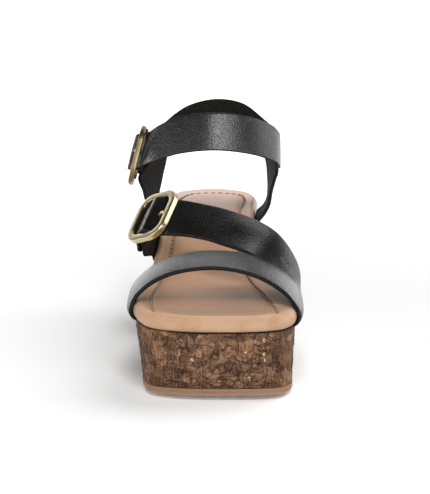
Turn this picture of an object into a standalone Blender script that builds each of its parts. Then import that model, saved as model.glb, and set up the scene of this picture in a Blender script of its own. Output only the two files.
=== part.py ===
"""Wedge sandal, right shoe: outsole, cork wedge, padded footbed, leather straps, two buckles.

The toe points along -Y, the heel along +Y and the inner side of the foot lies at +X.
All sizes below are millimetres; lengths run from a line 3 mm behind the toe tip, heights from the floor.
"""

import math

import bmesh
import bpy
import numpy as np
from mathutils import Matrix, Vector

MM = 0.001

# The middle of the base of the whole shoe, in shoe millimetres; it becomes the origin.
ORIGIN_X = -2.95
ORIGIN_Y = 124.0

BLACK = (0.02, 0.02, 0.02)
BRASS = (0.55, 0.43, 0.24)

GAP = 0.3
OUTSOLE_THICK = 4.3
OUTSOLE_PROUD = 0.3
OUTSOLE_ROUND = 2.4
TOE_SPRING = 2.6
TOE_SPRING_RUN = 46.0
ARCH_LIFT = 1.6
ARCH_FROM, ARCH_TO = 98.0, 176.0
CORK_TOP_INSET = 1.3
ROLL_WIDE = 3.6
ROLL_HIGH = 4.5
STRAP_THICK = 2.2
TAB_THICK = 2.0
TUCK_THICK = 1.2
TUCK_LONG = 9.0
ACROSS = 4
STEP = 4.2

FRAME_LONG = 35.4
FRAME_WIDE = 31.0
FRAME_BAR = 3.8
FRAME_THICK = 3.0
FRAME_CORNER = 10.5
BAR_RADIUS = 1.0
BAR_SINK = 1.4
PRONG_RADIUS = 0.75
ROLL_LEATHER = 1.2

# Plan of the footbed's rolled edge: toe tip, inner side to the heel, then the outer side back.
# The last column is how far the foot of the sole is set in there.
OUTLINE = (
    # x, y, foot inset
    (6.0, -3.0, 4.4),
    (28.0, -0.7, 3.2),
    (38.5, 4.3, 2.4),
    (44.2, 13.6, 2.5),
    (46.4, 34.0, 3.0),
    (47.3, 62.0, 3.4),
    (42.5, 95.0, 3.4),
    (32.0, 128.0, 3.0),
    (26.0, 158.0, 3.0),
    (27.0, 188.0, 3.0),
    (29.0, 214.0, 3.2),
    (21.5, 240.0, 3.4),
    (-1.5, 251.0, 3.6),
    (-24.5, 240.0, 3.4),
    (-32.0, 214.0, 3.2),
    (-33.0, 186.0, 3.0),
    (-34.3, 155.0, 3.0),
    (-36.3, 126.0, 3.4),
    (-40.5, 95.0, 4.4),
    (-45.4, 66.0, 5.6),
    (-46.0, 46.0, 5.8),
    (-44.4, 26.0, 4.8),
    (-36.5, 7.6, 3.2),
    (-19.0, -0.9, 4.0),
)

# Height of the footbed along the shoe.
FOOTBED_TOP = (
    # y, z
    (-3.0, 47.7),
    (28.0, 47.7),
    (78.0, 47.9),
    (104.0, 51.4),
    (130.0, 58.8),
    (156.0, 66.6),
    (182.0, 71.9),
    (208.0, 73.7),
    (251.0, 73.9),
)

# Outer face of the toe band, from the outer side to the inner side.
TOE_BAND = (
    # front x, y, z, rear x, y, z
    (-45.2, 29.3, 50.0, -47.6, 53.4, 50.4),
    (-38.5, 30.0, 57.0, -42.5, 54.6, 57.3),
    (-27.5, 30.2, 63.3, -31.0, 55.2, 65.6),
    (-12.2, 30.0, 67.1, -14.0, 54.3, 71.0),
    (4.0, 29.4, 67.7, 4.0, 54.0, 72.1),
    (19.5, 26.8, 65.3, 19.0, 54.6, 69.6),
    (32.5, 23.7, 59.8, 31.0, 52.4, 62.2),
    (41.0, 20.2, 53.8, 42.0, 48.4, 53.9),
)
TOE_BAND_OUTER_FOOT = (28.5, 53.0)
TOE_BAND_INNER_FOOT = (15.5, 44.5)

# Outer face of the instep strap, from its buckle to the inner side.
INSTEP_STRAP = (
    # front x, y, z, rear x, y, z
    (-17.5, 87.0, 73.8, -8.0, 103.0, 90.3),
    (-6.0, 80.5, 73.2, 5.5, 97.0, 88.4),
    (5.4, 72.5, 71.4, 18.5, 90.0, 85.2),
    (14.0, 64.0, 70.5, 28.2, 83.5, 81.9),
    (20.0, 57.0, 70.2, 36.7, 78.0, 77.0),
    (28.4, 52.0, 66.7, 43.5, 73.5, 69.2),
    (37.6, 48.5, 60.5, 48.4, 70.5, 59.7),
    (45.2, 45.5, 53.0, 50.2, 69.0, 51.6),
)
INSTEP_INNER_FOOT = (43.0, 68.0)

INSTEP_FRAME_AT = (-37.0, 109.5, 80.3)
INSTEP_FRAME_ALONG = (-0.67, 0.67, -0.30)
INSTEP_FRAME_ACROSS = (0.32, 0.66, 0.68)
INSTEP_TIP_RUN = 15.0
TAB_FOOT = (124.0, 146.0)
TAB_MIDDLE = (-44.8, 119.5, 60.5, -42.4, 139.5, 67.5)

# Outer face of the ankle band, from the buckle round the back and the inner side to the front.
ANKLE_BAND = (
    # upper x, y, z, lower x, y, z
    (-33.3, 220.0, 125.0, -38.0, 219.5, 103.0),
    (-18.0, 231.5, 134.8, -20.5, 234.0, 111.2),
    (1.0, 237.0, 138.6, 0.5, 240.0, 115.0),
    (19.4, 232.5, 136.2, 21.5, 234.5, 112.2),
    (34.0, 220.0, 126.6, 37.2, 220.5, 103.0),
    (43.4, 196.0, 120.0, 43.9, 198.0, 96.4),
    (37.4, 178.5, 128.0, 39.8, 177.5, 103.6),
    (22.0, 166.5, 135.0, 24.4, 163.5, 110.6),
    (0.0, 160.5, 138.0, 0.5, 156.5, 114.2),
    (-21.5, 165.0, 135.2, -23.0, 161.0, 111.4),
    (-36.0, 168.3, 129.6, -38.0, 165.2, 106.6),
)
ANKLE_FRAME_AT = (-49.5, 184.0, 108.4)
ANKLE_FRAME_ALONG = (-0.04, 0.96, -0.27)
ANKLE_ENTRY_RISE = 1.3
ANKLE_FRAME_ACROSS = (0.243, 0.0, 0.97)
ANKLE_TIP_RUN = 20.0

# Outer faces of the side straps, from the sole upward.
OUTER_SIDE = (
    # front x, y, z, rear x, y, z
    (-44.6, 173.0, 77.0, -38.4, 196.0, 78.0),
    (-46.8, 176.0, 84.5, -39.2, 202.0, 85.0),
    (-48.2, 181.5, 92.0, -38.8, 208.0, 94.0),
)
OUTER_SIDE_FOOT = (170.0, 193.0)
OUTER_SIDE_TOP = (190.0, 214.0)
INNER_SIDE = (
    (36.4, 171.0, 77.0, 34.4, 195.0, 77.5),
    (38.8, 176.5, 85.5, 36.2, 201.0, 86.0),
    (42.0, 181.0, 93.5, 38.2, 206.0, 95.0),
)
INNER_SIDE_FOOT = (166.0, 190.0)
INNER_SIDE_TOP = (184.0, 210.0)
SIDE_SINK = 1.1


def centripetal(rows, counts, closed=False):
    """Smooth curve through rows of points, with the given number of steps in each span."""
    rows = [np.asarray(r, float) for r in rows]
    n = len(rows)
    spans = n if closed else n - 1
    out = []
    for i in range(spans):
        b, c = rows[i], rows[(i + 1) % n]
        a = rows[(i - 1) % n] if closed or i > 0 else 2 * b - c
        d = rows[(i + 2) % n] if closed or i + 2 < n else 2 * c - b
        t = [0.0]
        for p, q in ((a, b), (b, c), (c, d)):
            t.append(t[-1] + max(1e-6, float(np.linalg.norm(q - p)) ** 0.5))
        for k in range(counts[i]):
            s = t[1] + (t[2] - t[1]) * k / counts[i]
            ab = (a * (t[1] - s) + b * s) / t[1]
            bc = (b * (t[2] - s) + c * (s - t[1])) / (t[2] - t[1])
            cd = (c * (t[3] - s) + d * (s - t[2])) / (t[3] - t[2])
            abc = (ab * (t[2] - s) + bc * s) / t[2]
            bcd = (bc * (t[3] - s) + cd * (s - t[1])) / (t[3] - t[1])
            out.append((abc * (t[2] - s) + bcd * (s - t[1])) / (t[2] - t[1]))
    if not closed:
        out.append(rows[-1])
    return np.array(out)


def plan(per_span):
    """Points of the footbed's plan and their outward normals."""
    pts = centripetal(OUTLINE, [per_span] * len(OUTLINE), closed=True)
    along = np.roll(pts, -1, axis=0) - np.roll(pts, 1, axis=0)
    normal = np.stack([along[:, 1], -along[:, 0]], axis=1)
    return pts[:, :2], normal / np.linalg.norm(normal, axis=1)[:, None], pts[:, 2]


FINE_PLAN, FINE_NORMAL, FINE_INSET = plan(40)
HALF = len(FINE_PLAN) // 2


def edge_at(y, side):
    """Point of the rolled edge and its outward normal, at a length y, on the inner or outer side."""
    if side == "inner":
        pts, nrm = FINE_PLAN[: HALF + 1], FINE_NORMAL[: HALF + 1]
    else:
        pts = np.vstack([FINE_PLAN[HALF:], FINE_PLAN[:1]])[::-1]
        nrm = np.vstack([FINE_NORMAL[HALF:], FINE_NORMAL[:1]])[::-1]
    x = np.interp(y, pts[:, 1], pts[:, 0])
    n = np.array([np.interp(y, pts[:, 1], nrm[:, k]) for k in (0, 1)])
    return np.array([x, y]), n / np.linalg.norm(n)


FINE_TOP = centripetal(FOOTBED_TOP, [20] * (len(FOOTBED_TOP) - 1))


def top_at(y):
    """Height of the footbed at a length y."""
    return np.interp(y, FINE_TOP[:, 0], FINE_TOP[:, 1])


def floor_at(y):
    """Height of the outsole's underside at a length y: toe spring, then a shallow arch."""
    y = np.asarray(y, float)
    spring = TOE_SPRING * np.clip((TOE_SPRING_RUN - y) / TOE_SPRING_RUN, 0, 1) ** 1.7
    s = np.clip((y - ARCH_FROM) / (ARCH_TO - ARCH_FROM), 0, 1)
    return spring + ARCH_LIFT * np.sin(math.pi * s) ** 2


def material(name, colour, roughness, metallic=0.0):
    """A plain Principled material."""
    mat = bpy.data.materials.new(name)
    mat.use_nodes = True
    bsdf = mat.node_tree.nodes["Principled BSDF"]
    bsdf.inputs["Base Color"].default_value = (*colour, 1.0)
    bsdf.inputs["Roughness"].default_value = roughness
    bsdf.inputs["Metallic"].default_value = metallic
    return mat


def to_object(name, verts, faces, mat=None, cutter=False):
    """A mesh object from millimetre points, in the parts or in the cutters."""
    mesh = bpy.data.meshes.new(name)
    mesh.from_pydata((np.asarray(verts, float) * MM).tolist(), [], faces)
    mesh.update()
    obj = bpy.data.objects.new(name, mesh)
    if cutter:
        CUTTERS.objects.link(obj)
        obj.hide_render = True
        obj.display_type = "WIRE"
    else:
        PARTS.objects.link(obj)
        mesh.materials.append(mat)
    obj.parent = SHOE
    return obj


def stack(name, rings, mat):
    """A closed solid from rings of plan points, capped by rungs between the two sides."""
    m = len(rings[0])
    verts = np.vstack(rings)
    faces = []
    for k in range(len(rings) - 1):
        for i in range(m):
            j = (i + 1) % m
            faces.append((k * m + i, k * m + j, (k + 1) * m + j, (k + 1) * m + i))
    for base, flip in ((0, True), ((len(rings) - 1) * m, False)):
        for i in range(m // 2):
            a, b, c, d = i, i + 1, (m - i - 1) % m, (m - i) % m
            face = [base + a, base + b, base + c] if i == 0 else [base + a, base + b, base + c, base + d]
            if i == m // 2 - 1:
                face = [base + a, base + b, base + d]
            faces.append(tuple(reversed(face)) if flip else tuple(face))
    obj = to_object(name, verts, faces, mat)
    obj.modifiers.new("flat faces", "TRIANGULATE")
    return obj


def ring(inset, height, foot=0.0, per_span=4):
    """One ring of the plan moved inward, at the height that a rule gives for each length.

    Foot is the share of the foot inset that is added.
    """
    pts, nrm, foot_inset = plan(per_span)
    xy = pts - nrm * (inset + foot * foot_inset)[:, None]
    return np.column_stack([xy, height(xy[:, 1])])


def sole_parts():
    """Outsole, cork wedge and footbed."""
    r = OUTSOLE_ROUND
    rings = []
    for a in (0.0, 30.0, 60.0, 90.0):
        c, s = math.cos(math.radians(a)), math.sin(math.radians(a))
        rings.append(ring(r * (1 - s) - OUTSOLE_PROUD, lambda y, c=c: floor_at(y) + r * (1 - c), 1.0))
    rings.append(ring(-OUTSOLE_PROUD, lambda y: floor_at(y) + OUTSOLE_THICK, 1.0))
    outsole = stack("outsole", rings, material("tan rubber", (0.46, 0.29, 0.18), 0.6))

    low = ring(0.0, lambda y: floor_at(y) + OUTSOLE_THICK + GAP, 1.0)
    high = ring(CORK_TOP_INSET, lambda y: top_at(y) - 2 * ROLL_HIGH - GAP)
    wedge = stack("cork_wedge", [low, high], material("cork", (0.20, 0.11, 0.06), 0.75))

    rings = []
    for a in np.linspace(-90, 90, 9):
        c, s = math.cos(math.radians(a)), math.sin(math.radians(a))
        rings.append(
            ring(ROLL_WIDE * (1 - c), lambda y, s=s: top_at(y) - ROLL_HIGH + ROLL_HIGH * s)
        )
    footbed = stack("footbed", rings, material("tan leather", (0.52, 0.29, 0.16), 0.5))
    return outsole, wedge, footbed


def across(front, rear, count=ACROSS):
    """A row of points from one edge of a strap to the other."""
    v = np.linspace(0, 1, count + 1)[:, None]
    return np.asarray(front, float) * (1 - v) + np.asarray(rear, float) * v


def table_rows(table):
    """Rows across a strap from a table of its two edges."""
    return [across(r[:3], r[3:]) for r in table]


def foot_rows(span, side, thick, grow=0.0, reverse=False, hug=()):
    """Rows of a strap's end: tucked under the footbed, then round its rolled edge.

    Each row also carries the strap's thickness there. Grow widens the form for its pocket, and
    hug lists the angles to which the strap goes on over the roll.
    """
    ys = np.linspace(span[0] - grow, span[1] + grow, ACROSS + 1)
    if reverse:
        ys = ys[::-1]
    plan_pts = [edge_at(y, side) for y in ys]
    rows, thicks = [], []
    stops = [("tuck", TUCK_LONG + grow), ("tuck", TUCK_LONG * 0.5)]
    stops += [("roll", a) for a in (-90, -70, -50, -30, -12, 0, *hug)]
    for kind, value in stops:
        angle = -90.0 if kind == "tuck" else value
        share = min(1.0, 1 + angle / 90.0)
        t = TUCK_THICK + (thick - TUCK_THICK) * share
        d = GAP + t + grow
        row = []
        for xy, n in plan_pts:
            a = math.radians(angle)
            inset = value if kind == "tuck" else 0.0
            at = xy - n * (ROLL_WIDE + inset) + n * (ROLL_WIDE + d) * math.cos(a)
            z = top_at(at[1]) - ROLL_HIGH + (ROLL_HIGH + d) * math.sin(a)
            row.append((at[0], at[1], z))
        rows.append(np.array(row))
        thicks.append(t + 2 * grow)
    return rows, thicks


def skin(rows, thicks):
    """Smooth grid of points through rows, with a thickness for each row of the grid."""
    data = [np.column_stack([r, np.full(len(r), t)]) for r, t in zip(rows, thicks)]
    counts = []
    for a, b in zip(rows, rows[1:]):
        counts.append(max(1, int(round(float(np.linalg.norm(b - a, axis=1).mean()) / STEP))))
    grid = centripetal([d.ravel() for d in data], counts).reshape(-1, len(rows[0]), 4)
    return grid[:, :, :3], grid[:, 0, 3]


def normals(grid):
    """Unit normals of a grid, on its outer side."""
    n = np.cross(np.gradient(grid, axis=0), np.gradient(grid, axis=1))
    return n / np.linalg.norm(n, axis=2)[:, :, None]


def shell(name, grid, thicks, mat=None, cutter=False):
    """A strap: an open outer face thickened inward by Solidify, thinner where it is skived."""
    nu, nv = grid.shape[:2]
    faces = []
    for i in range(nu - 1):
        for j in range(nv - 1):
            k = i * nv + j
            faces.append((k, k + nv, k + nv + 1, k + 1))
    obj = to_object(name, grid.reshape(-1, 3), faces, mat, cutter)
    full, least = float(max(thicks)), float(min(thicks))
    mod = obj.modifiers.new("leather", "SOLIDIFY")
    mod.thickness = full * MM
    mod.offset = -1.0
    mod.use_even_offset = True
    if full - least > 1e-6:
        group = obj.vertex_groups.new(name="full")
        for i, t in enumerate(thicks):
            weight = (float(t) - least) / (full - least)
            group.add(list(range(i * nv, (i + 1) * nv)), weight, "REPLACE")
        mod.vertex_group = "full"
        mod.thickness_vertex_group = least / full
    obj.modifiers.new("flat faces", "TRIANGULATE")
    return obj


def cut(obj, other, operation="DIFFERENCE"):
    """A Boolean between two objects."""
    mod = obj.modifiers.new(operation.lower() + " " + other.name, "BOOLEAN")
    mod.operation = operation
    mod.solver = "EXACT"
    mod.object = other


class Buckle:
    """Place and axes of a buckle: along the strap, across it and outward."""

    def __init__(self, at, along, across_hint, outward_hint):
        self.at = np.array(at)
        self.along = np.array(along) / np.linalg.norm(along)
        side = np.array(across_hint) - self.along * np.dot(across_hint, self.along)
        self.across = side / np.linalg.norm(side)
        out = np.cross(self.along, self.across)
        self.out = out if np.dot(out, outward_hint) > 0 else -out

    def point(self, w, n, l=0.0):
        """A point at w along the strap, n outward and l across."""
        return self.at + self.along * w + self.out * n + self.across * l

    def row(self, w, n, half, flip=False):
        """A row across the strap at w, n."""
        a, b = self.point(w, n, -half), self.point(w, n, half)
        return across(b, a) if flip else across(a, b)

    def up(self):
        """Sign of the outward side along the local Z axis."""
        return 1.0 if np.dot(np.cross(self.along, self.across), self.out) > 0 else -1.0

    def matrix(self):
        """Frame axes as a matrix: local X along, local Y across, local Z outward."""
        cols = [self.along, self.across, np.cross(self.along, self.across)]
        m = Matrix([[float(cols[c][r]) for c in range(3)] for r in range(3)]).to_4x4()
        m.translation = Vector((self.at * MM).tolist())
        return m


# Path of a strap through its buckle: under one side of the frame, over the bar, under the other.
INSTEP_WAVE = (
    # along, outer face above the frame's middle
    (-16.8, -2.6),
    (-13.8, -2.15),
    (-11.2, -2.0),
    (-8.4, -0.9),
    (-4.4, 2.4),
    (0.0, 4.0),
    (4.4, 2.4),
    (8.4, -0.9),
    (11.2, -2.0),
    (13.8, -2.15),
)
ANKLE_WAVE = ((-15.6, -5.2), (-13.0, -3.0), *INSTEP_WAVE[2:])
BAR_FOLD = (
    # along, outer face, thickness
    (2.6, -3.3, 1.3),
    (6.5, -4.6, 1.7),
    (10.4, -4.8, TAB_THICK),
    (13.8, -4.8, TAB_THICK),
)
ROLL_REACH = BAR_RADIUS + GAP


def bar_rows(buckle, half, flip):
    """Rows of the leather folded round a buckle's bar, from the fold's end outward along the strap."""
    rows, thicks = [], []
    for a in (40, 65, 90, 112, 135, 158, 180, 203, 226, 250, 270):
        w, n = ROLL_REACH * math.cos(math.radians(a)), ROLL_REACH * math.sin(math.radians(a))
        rows.append(buckle.row(w, n - BAR_SINK, half, flip))
        thicks.append(ROLL_LEATHER)
    for w, n, t in BAR_FOLD:
        rows.append(buckle.row(w, n, half, flip))
        thicks.append(t)
    return rows, thicks


def rounded_plate(name, wide, long_, corner, thick, hole_wide, hole_long, hole_corner):
    """A flat frame with round corners, from a filled curve with an eased edge."""
    curve = bpy.data.curves.new(name, "CURVE")
    curve.dimensions = "2D"
    curve.fill_mode = "BOTH"
    ease = 0.7
    curve.extrude = (thick / 2 - ease) * MM
    curve.bevel_depth = ease * MM
    curve.bevel_resolution = 1
    curve.offset = 0.0
    rim = (wide - 2 * ease, long_ - 2 * ease, corner)
    hole = (hole_wide + 2 * ease, hole_long + 2 * ease, hole_corner)
    for w, l, r in (rim, hole):
        spline = curve.splines.new("POLY")
        pts = []
        for cx, cy, start in ((1, 1, 0), (-1, 1, 90), (-1, -1, 180), (1, -1, 270)):
            for a in range(0, 91, 15):
                t = math.radians(start + a)
                pts.append((cx * (w / 2 - r) + r * math.cos(t), cy * (l / 2 - r) + r * math.sin(t)))
        spline.points.add(len(pts) - 1)
        for p, (x, y) in zip(spline.points, pts):
            p.co = (x * MM, y * MM, 0, 1)
        spline.use_cyclic_u = True
    return curve


def curve_to_mesh(name, curve, matrix, mat=None, cutter=False):
    """A welded mesh object from a curve."""
    holder = bpy.data.objects.new(name + " curve", curve)
    PARTS.objects.link(holder)
    bpy.context.view_layer.update()
    depsgraph = bpy.context.evaluated_depsgraph_get()
    mesh = bpy.data.meshes.new_from_object(holder.evaluated_get(depsgraph))
    bpy.data.objects.remove(holder)
    mesh.name = name
    bm = bmesh.new()
    bm.from_mesh(mesh)
    bmesh.ops.remove_doubles(bm, verts=bm.verts, dist=1e-6)
    bmesh.ops.recalc_face_normals(bm, faces=bm.faces)
    bm.to_mesh(mesh)
    bm.free()
    obj = bpy.data.objects.new(name, mesh)
    if cutter:
        CUTTERS.objects.link(obj)
        obj.hide_render = True
        obj.display_type = "WIRE"
    else:
        PARTS.objects.link(obj)
        mesh.materials.clear()
        mesh.materials.append(mat)
    obj.parent = SHOE
    obj.matrix_local = matrix
    return obj


def frame_parts(name, buckle, mat):
    """A buckle frame with its centre bar."""
    curve = rounded_plate(
        name,
        FRAME_WIDE,
        FRAME_LONG,
        FRAME_CORNER,
        FRAME_THICK,
        FRAME_WIDE - 2 * FRAME_BAR,
        FRAME_LONG - 2 * FRAME_BAR,
        FRAME_CORNER - FRAME_BAR,
    )
    frame = curve_to_mesh(name, curve, buckle.matrix(), mat)
    bpy.ops.mesh.primitive_cylinder_add(
        vertices=16,
        radius=BAR_RADIUS * MM,
        depth=(FRAME_LONG - FRAME_BAR) * MM,
        rotation=(math.pi / 2, 0, 0),
    )
    bar = bpy.context.object
    bar.name = name + " bar"
    for c in list(bar.users_collection):
        c.objects.unlink(bar)
    CUTTERS.objects.link(bar)
    bar.hide_render = True
    bar.display_type = "WIRE"
    bar.parent = SHOE
    sink = Matrix.Translation((0, 0, -BAR_SINK * buckle.up() * MM))
    bar.matrix_local = buckle.matrix() @ sink @ Matrix.Rotation(math.pi / 2, 4, "X")
    cut(frame, bar, "UNION")
    return frame


def prong_points(buckle, ring_too):
    """Middle line of a prong: a hook round the bar, then out through the strap to the frame's near side."""
    pts = []
    reach = BAR_RADIUS + GAP + PRONG_RADIUS
    if ring_too:
        for a in range(-150, 91, 30):
            t = math.radians(a)
            pts.append((reach * math.cos(t), reach * math.sin(t) - BAR_SINK))
    else:
        pts.append((0.4, reach - BAR_SINK - 0.1))
    pts += [(-2.0, 0.9), (-5.0, 0.95)]
    lie = FRAME_THICK / 2 + GAP + PRONG_RADIUS
    pts += [(-8.0, 1.6), (-10.6, lie), (-13.0, lie + 0.05), (-14.8, lie - 0.1)]
    return pts


def prong(name, buckle, radius, mat=None, cutter=False):
    """A prong as a bent wire."""
    curve = bpy.data.curves.new(name, "CURVE")
    curve.dimensions = "3D"
    curve.bevel_depth = radius * MM
    curve.bevel_resolution = 2
    curve.use_fill_caps = True
    spline = curve.splines.new("POLY")
    pts = prong_points(buckle, not cutter)
    spline.points.add(len(pts) - 1)
    for p, (w, n) in zip(spline.points, pts):
        p.co = (w * MM, 0, n * buckle.up() * MM, 1)
    return curve_to_mesh(name, curve, buckle.matrix(), mat, cutter)


def notch(name, buckle):
    """A block that clears the folded leather for the prong's hook."""
    bpy.ops.mesh.primitive_cube_add(size=1)
    block = bpy.context.object
    block.name = name
    for c in list(block.users_collection):
        c.objects.unlink(block)
    CUTTERS.objects.link(block)
    block.hide_render = True
    block.display_type = "WIRE"
    block.data.transform(Matrix.Diagonal((7.6 * MM, 2 * (PRONG_RADIUS + GAP) * MM, 7.0 * MM, 1)))
    block.parent = SHOE
    block.matrix_local = buckle.matrix() @ Matrix.Translation((0, 0, -BAR_SINK * buckle.up() * MM))
    return block


def pocket(name, span, side, thick, wedge):
    """A shallow pocket in the cork for a strap's tucked end."""
    rows, thicks = foot_rows(span, side, thick, GAP, reverse=(side == "inner"))
    grid, t = skin(rows, thicks)
    cut(wedge, shell(name, grid, t, cutter=True))


def tip_rows(grid, start, run, lift):
    """Rows of a strap's loose end lying over another strap's grid, narrowed to a round tip."""
    raised = grid + normals(grid) * lift
    rows, gone = [], 0.0
    i = start
    while gone < run and 0 <= i < len(grid):
        rows.append(raised[i])
        if i + 1 < len(grid):
            gone += float(np.linalg.norm(raised[i + 1] - raised[i], axis=1).mean())
        i += 1
    shaped = []
    for k, row in enumerate(rows):
        left = len(rows) - 1 - k
        width = {0: 0.35, 1: 0.78, 2: 0.96}.get(left, 1.0)
        middle = row.mean(axis=0)
        shaped.append(middle + (row - middle) * width)
    return shaped


def vamp(wedge):
    """Toe band, instep strap, its tab and its buckle."""
    leather = material("black vamp leather", BLACK, 0.45)
    tab_leather = material("black tab leather", BLACK, 0.45)
    brass = material("instep buckle brass", BRASS, 0.35, 1.0)
    prong_brass = material("instep prong brass", BRASS, 0.35, 1.0)
    buckle = Buckle(INSTEP_FRAME_AT, INSTEP_FRAME_ALONG, INSTEP_FRAME_ACROSS, (-1, -0.5, 1))
    rows, thicks = foot_rows(TOE_BAND_OUTER_FOOT, "outer", STRAP_THICK)
    rows += table_rows(TOE_BAND)
    thicks += [STRAP_THICK] * len(TOE_BAND)
    ends, end_t = foot_rows(TOE_BAND_INNER_FOOT, "inner", STRAP_THICK, hug=(14, 27))
    toe_grid, toe_t = skin(rows + ends[::-1], thicks + end_t[::-1])
    toe = shell("vamp_straps", toe_grid, toe_t, leather)
    pocket("toe band outer pocket", TOE_BAND_OUTER_FOOT, "outer", STRAP_THICK, wedge)
    vamp_span = (TOE_BAND_INNER_FOOT[0], INSTEP_INNER_FOOT[1])
    pocket("vamp inner pocket", vamp_span, "inner", STRAP_THICK + 0.5, wedge)

    rows, thicks = foot_rows(TAB_FOOT, "outer", TAB_THICK)
    rows.append(across(TAB_MIDDLE[:3], TAB_MIDDLE[3:]))
    thicks.append(TAB_THICK)
    fold, fold_t = bar_rows(buckle, 11.0, False)
    tab_grid, tab_t = skin(rows + fold[::-1], thicks + fold_t[::-1])
    tab = shell("instep_buckle_tab", tab_grid, tab_t, tab_leather)
    cut(tab, notch("instep notch", buckle))
    pocket("tab pocket", TAB_FOOT, "outer", TAB_THICK, wedge)

    lift = STRAP_THICK + 3 * GAP
    beside = np.linalg.norm(tab_grid.mean(axis=1) - buckle.point(*BAR_FOLD[-1][:2]), axis=1)
    top = int(np.argmin(beside))
    loose = tip_rows(tab_grid[:top][::-1, ::-1], 0, INSTEP_TIP_RUN, lift)
    rows = [r[::-1] for r in loose[::-1]]
    rows += [buckle.row(w, n, 12.0) for w, n in INSTEP_WAVE[::-1]]
    rows += table_rows(INSTEP_STRAP)
    thicks = [STRAP_THICK] * len(rows)
    ends, end_t = foot_rows(INSTEP_INNER_FOOT, "inner", STRAP_THICK)
    raised = []
    for row in ends[::-1]:
        raised.append(row + np.array([0.35, 0.0, -0.1]))
    inst_grid, inst_t = skin(rows + raised, thicks + end_t[::-1])
    instep = shell("instep strap form", inst_grid, inst_t, cutter=True)
    cut(instep, prong("instep prong hole", buckle, PRONG_RADIUS + 0.4, cutter=True))
    cut(toe, instep, "UNION")
    frame_parts("instep_buckle", buckle, brass)
    prong("instep_prong", buckle, PRONG_RADIUS, prong_brass)


def nearest(grid, y, side):
    """Point in the lower half of a strap's grid, sunk below its outer face, at a length y on one side."""
    n = normals(grid)
    j = int(round(0.75 * (grid.shape[1] - 1)))
    column = grid[:, j]
    ok = column[:, 0] < 0 if side == "outer" else column[:, 0] > 0
    i = int(np.argmin(np.where(ok, np.abs(column[:, 1] - y), 1e9)))
    return column[i] - n[i, j] * SIDE_SINK


def ankle(wedge):
    """Ankle band with its back sling, the two side straps and the buckle."""
    leather = material("black ankle leather", BLACK, 0.45)
    brass = material("ankle buckle brass", BRASS, 0.35, 1.0)
    prong_brass = material("ankle prong brass", BRASS, 0.35, 1.0)
    buckle = Buckle(ANKLE_FRAME_AT, ANKLE_FRAME_ALONG, ANKLE_FRAME_ACROSS, (-1, 0, 0))
    fold, fold_t = bar_rows(buckle, 11.0, True)
    sling_grid, sling_t = skin(fold + table_rows(ANKLE_BAND), fold_t + [STRAP_THICK] * len(ANKLE_BAND))
    beside = np.linalg.norm(sling_grid.mean(axis=1) - buckle.point(*BAR_FOLD[-1][:2]), axis=1)
    start = int(np.argmin(beside)) + 1
    wave = []
    for w, n in ANKLE_WAVE:
        rise = buckle.across * ANKLE_ENTRY_RISE * min(1.0, max(0.0, -w / 11.0))
        wave.append(buckle.row(w, n, 11.8, True) + rise)
    loose = tip_rows(sling_grid, start, ANKLE_TIP_RUN, STRAP_THICK + GAP)
    rows = fold + table_rows(ANKLE_BAND) + wave + loose
    thicks = fold_t + [STRAP_THICK] * (len(ANKLE_BAND) + len(wave) + len(loose))
    grid, t = skin(rows, thicks)
    band = shell("ankle_straps", grid, t, leather)
    for side, table, foot, top in (
        ("outer", OUTER_SIDE, OUTER_SIDE_FOOT, OUTER_SIDE_TOP),
        ("inner", INNER_SIDE, INNER_SIDE_FOOT, INNER_SIDE_TOP),
    ):
        rows, thicks = foot_rows(foot, side, STRAP_THICK)
        rows += table_rows(table)
        rows.append(across(nearest(sling_grid, top[0], side), nearest(sling_grid, top[1], side)))
        thicks += [STRAP_THICK] * (len(table) + 1)
        side_grid, side_t = skin(rows, thicks)
        if side == "inner":
            side_grid = side_grid[:, ::-1]
        form = shell(side + " side strap form", side_grid, side_t, cutter=True)
        cut(band, form, "UNION")
        pocket(side + " side pocket", foot, side, STRAP_THICK, wedge)
    cut(band, notch("ankle notch", buckle))
    cut(band, prong("ankle prong hole", buckle, PRONG_RADIUS + 0.4, cutter=True))
    frame_parts("ankle_buckle", buckle, brass)
    prong("ankle_prong", buckle, PRONG_RADIUS, prong_brass)


for old in list(bpy.data.objects):
    bpy.data.objects.remove(old)
PARTS = bpy.data.collections.new("wedge sandal")
CUTTERS = bpy.data.collections.new("cutters")
bpy.context.scene.collection.children.link(PARTS)
bpy.context.scene.collection.children.link(CUTTERS)
SHOE = bpy.data.objects.new("shoe", None)
PARTS.objects.link(SHOE)

OUTSOLE, WEDGE, FOOTBED = sole_parts()
vamp(WEDGE)
ankle(WEDGE)
for piece in PARTS.objects:
    if piece.type == "MESH":
        piece.data.shade_smooth()
        piece.data.set_sharp_from_angle(angle=math.radians(40))
SHOE.location = (-ORIGIN_X * MM, -ORIGIN_Y * MM, 0.0)
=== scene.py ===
"""A right wedge sandal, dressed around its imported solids.

Shoe coordinates are millimetres: x towards the inner side of the foot, y towards the heel, z up
from the floor. Every surface is worked out as whole arrays in those coordinates, and the mesh
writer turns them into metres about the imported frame's origin.
"""

from __future__ import annotations

import logging
import math
from dataclasses import dataclass
from enum import Enum
from functools import cached_property

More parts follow.
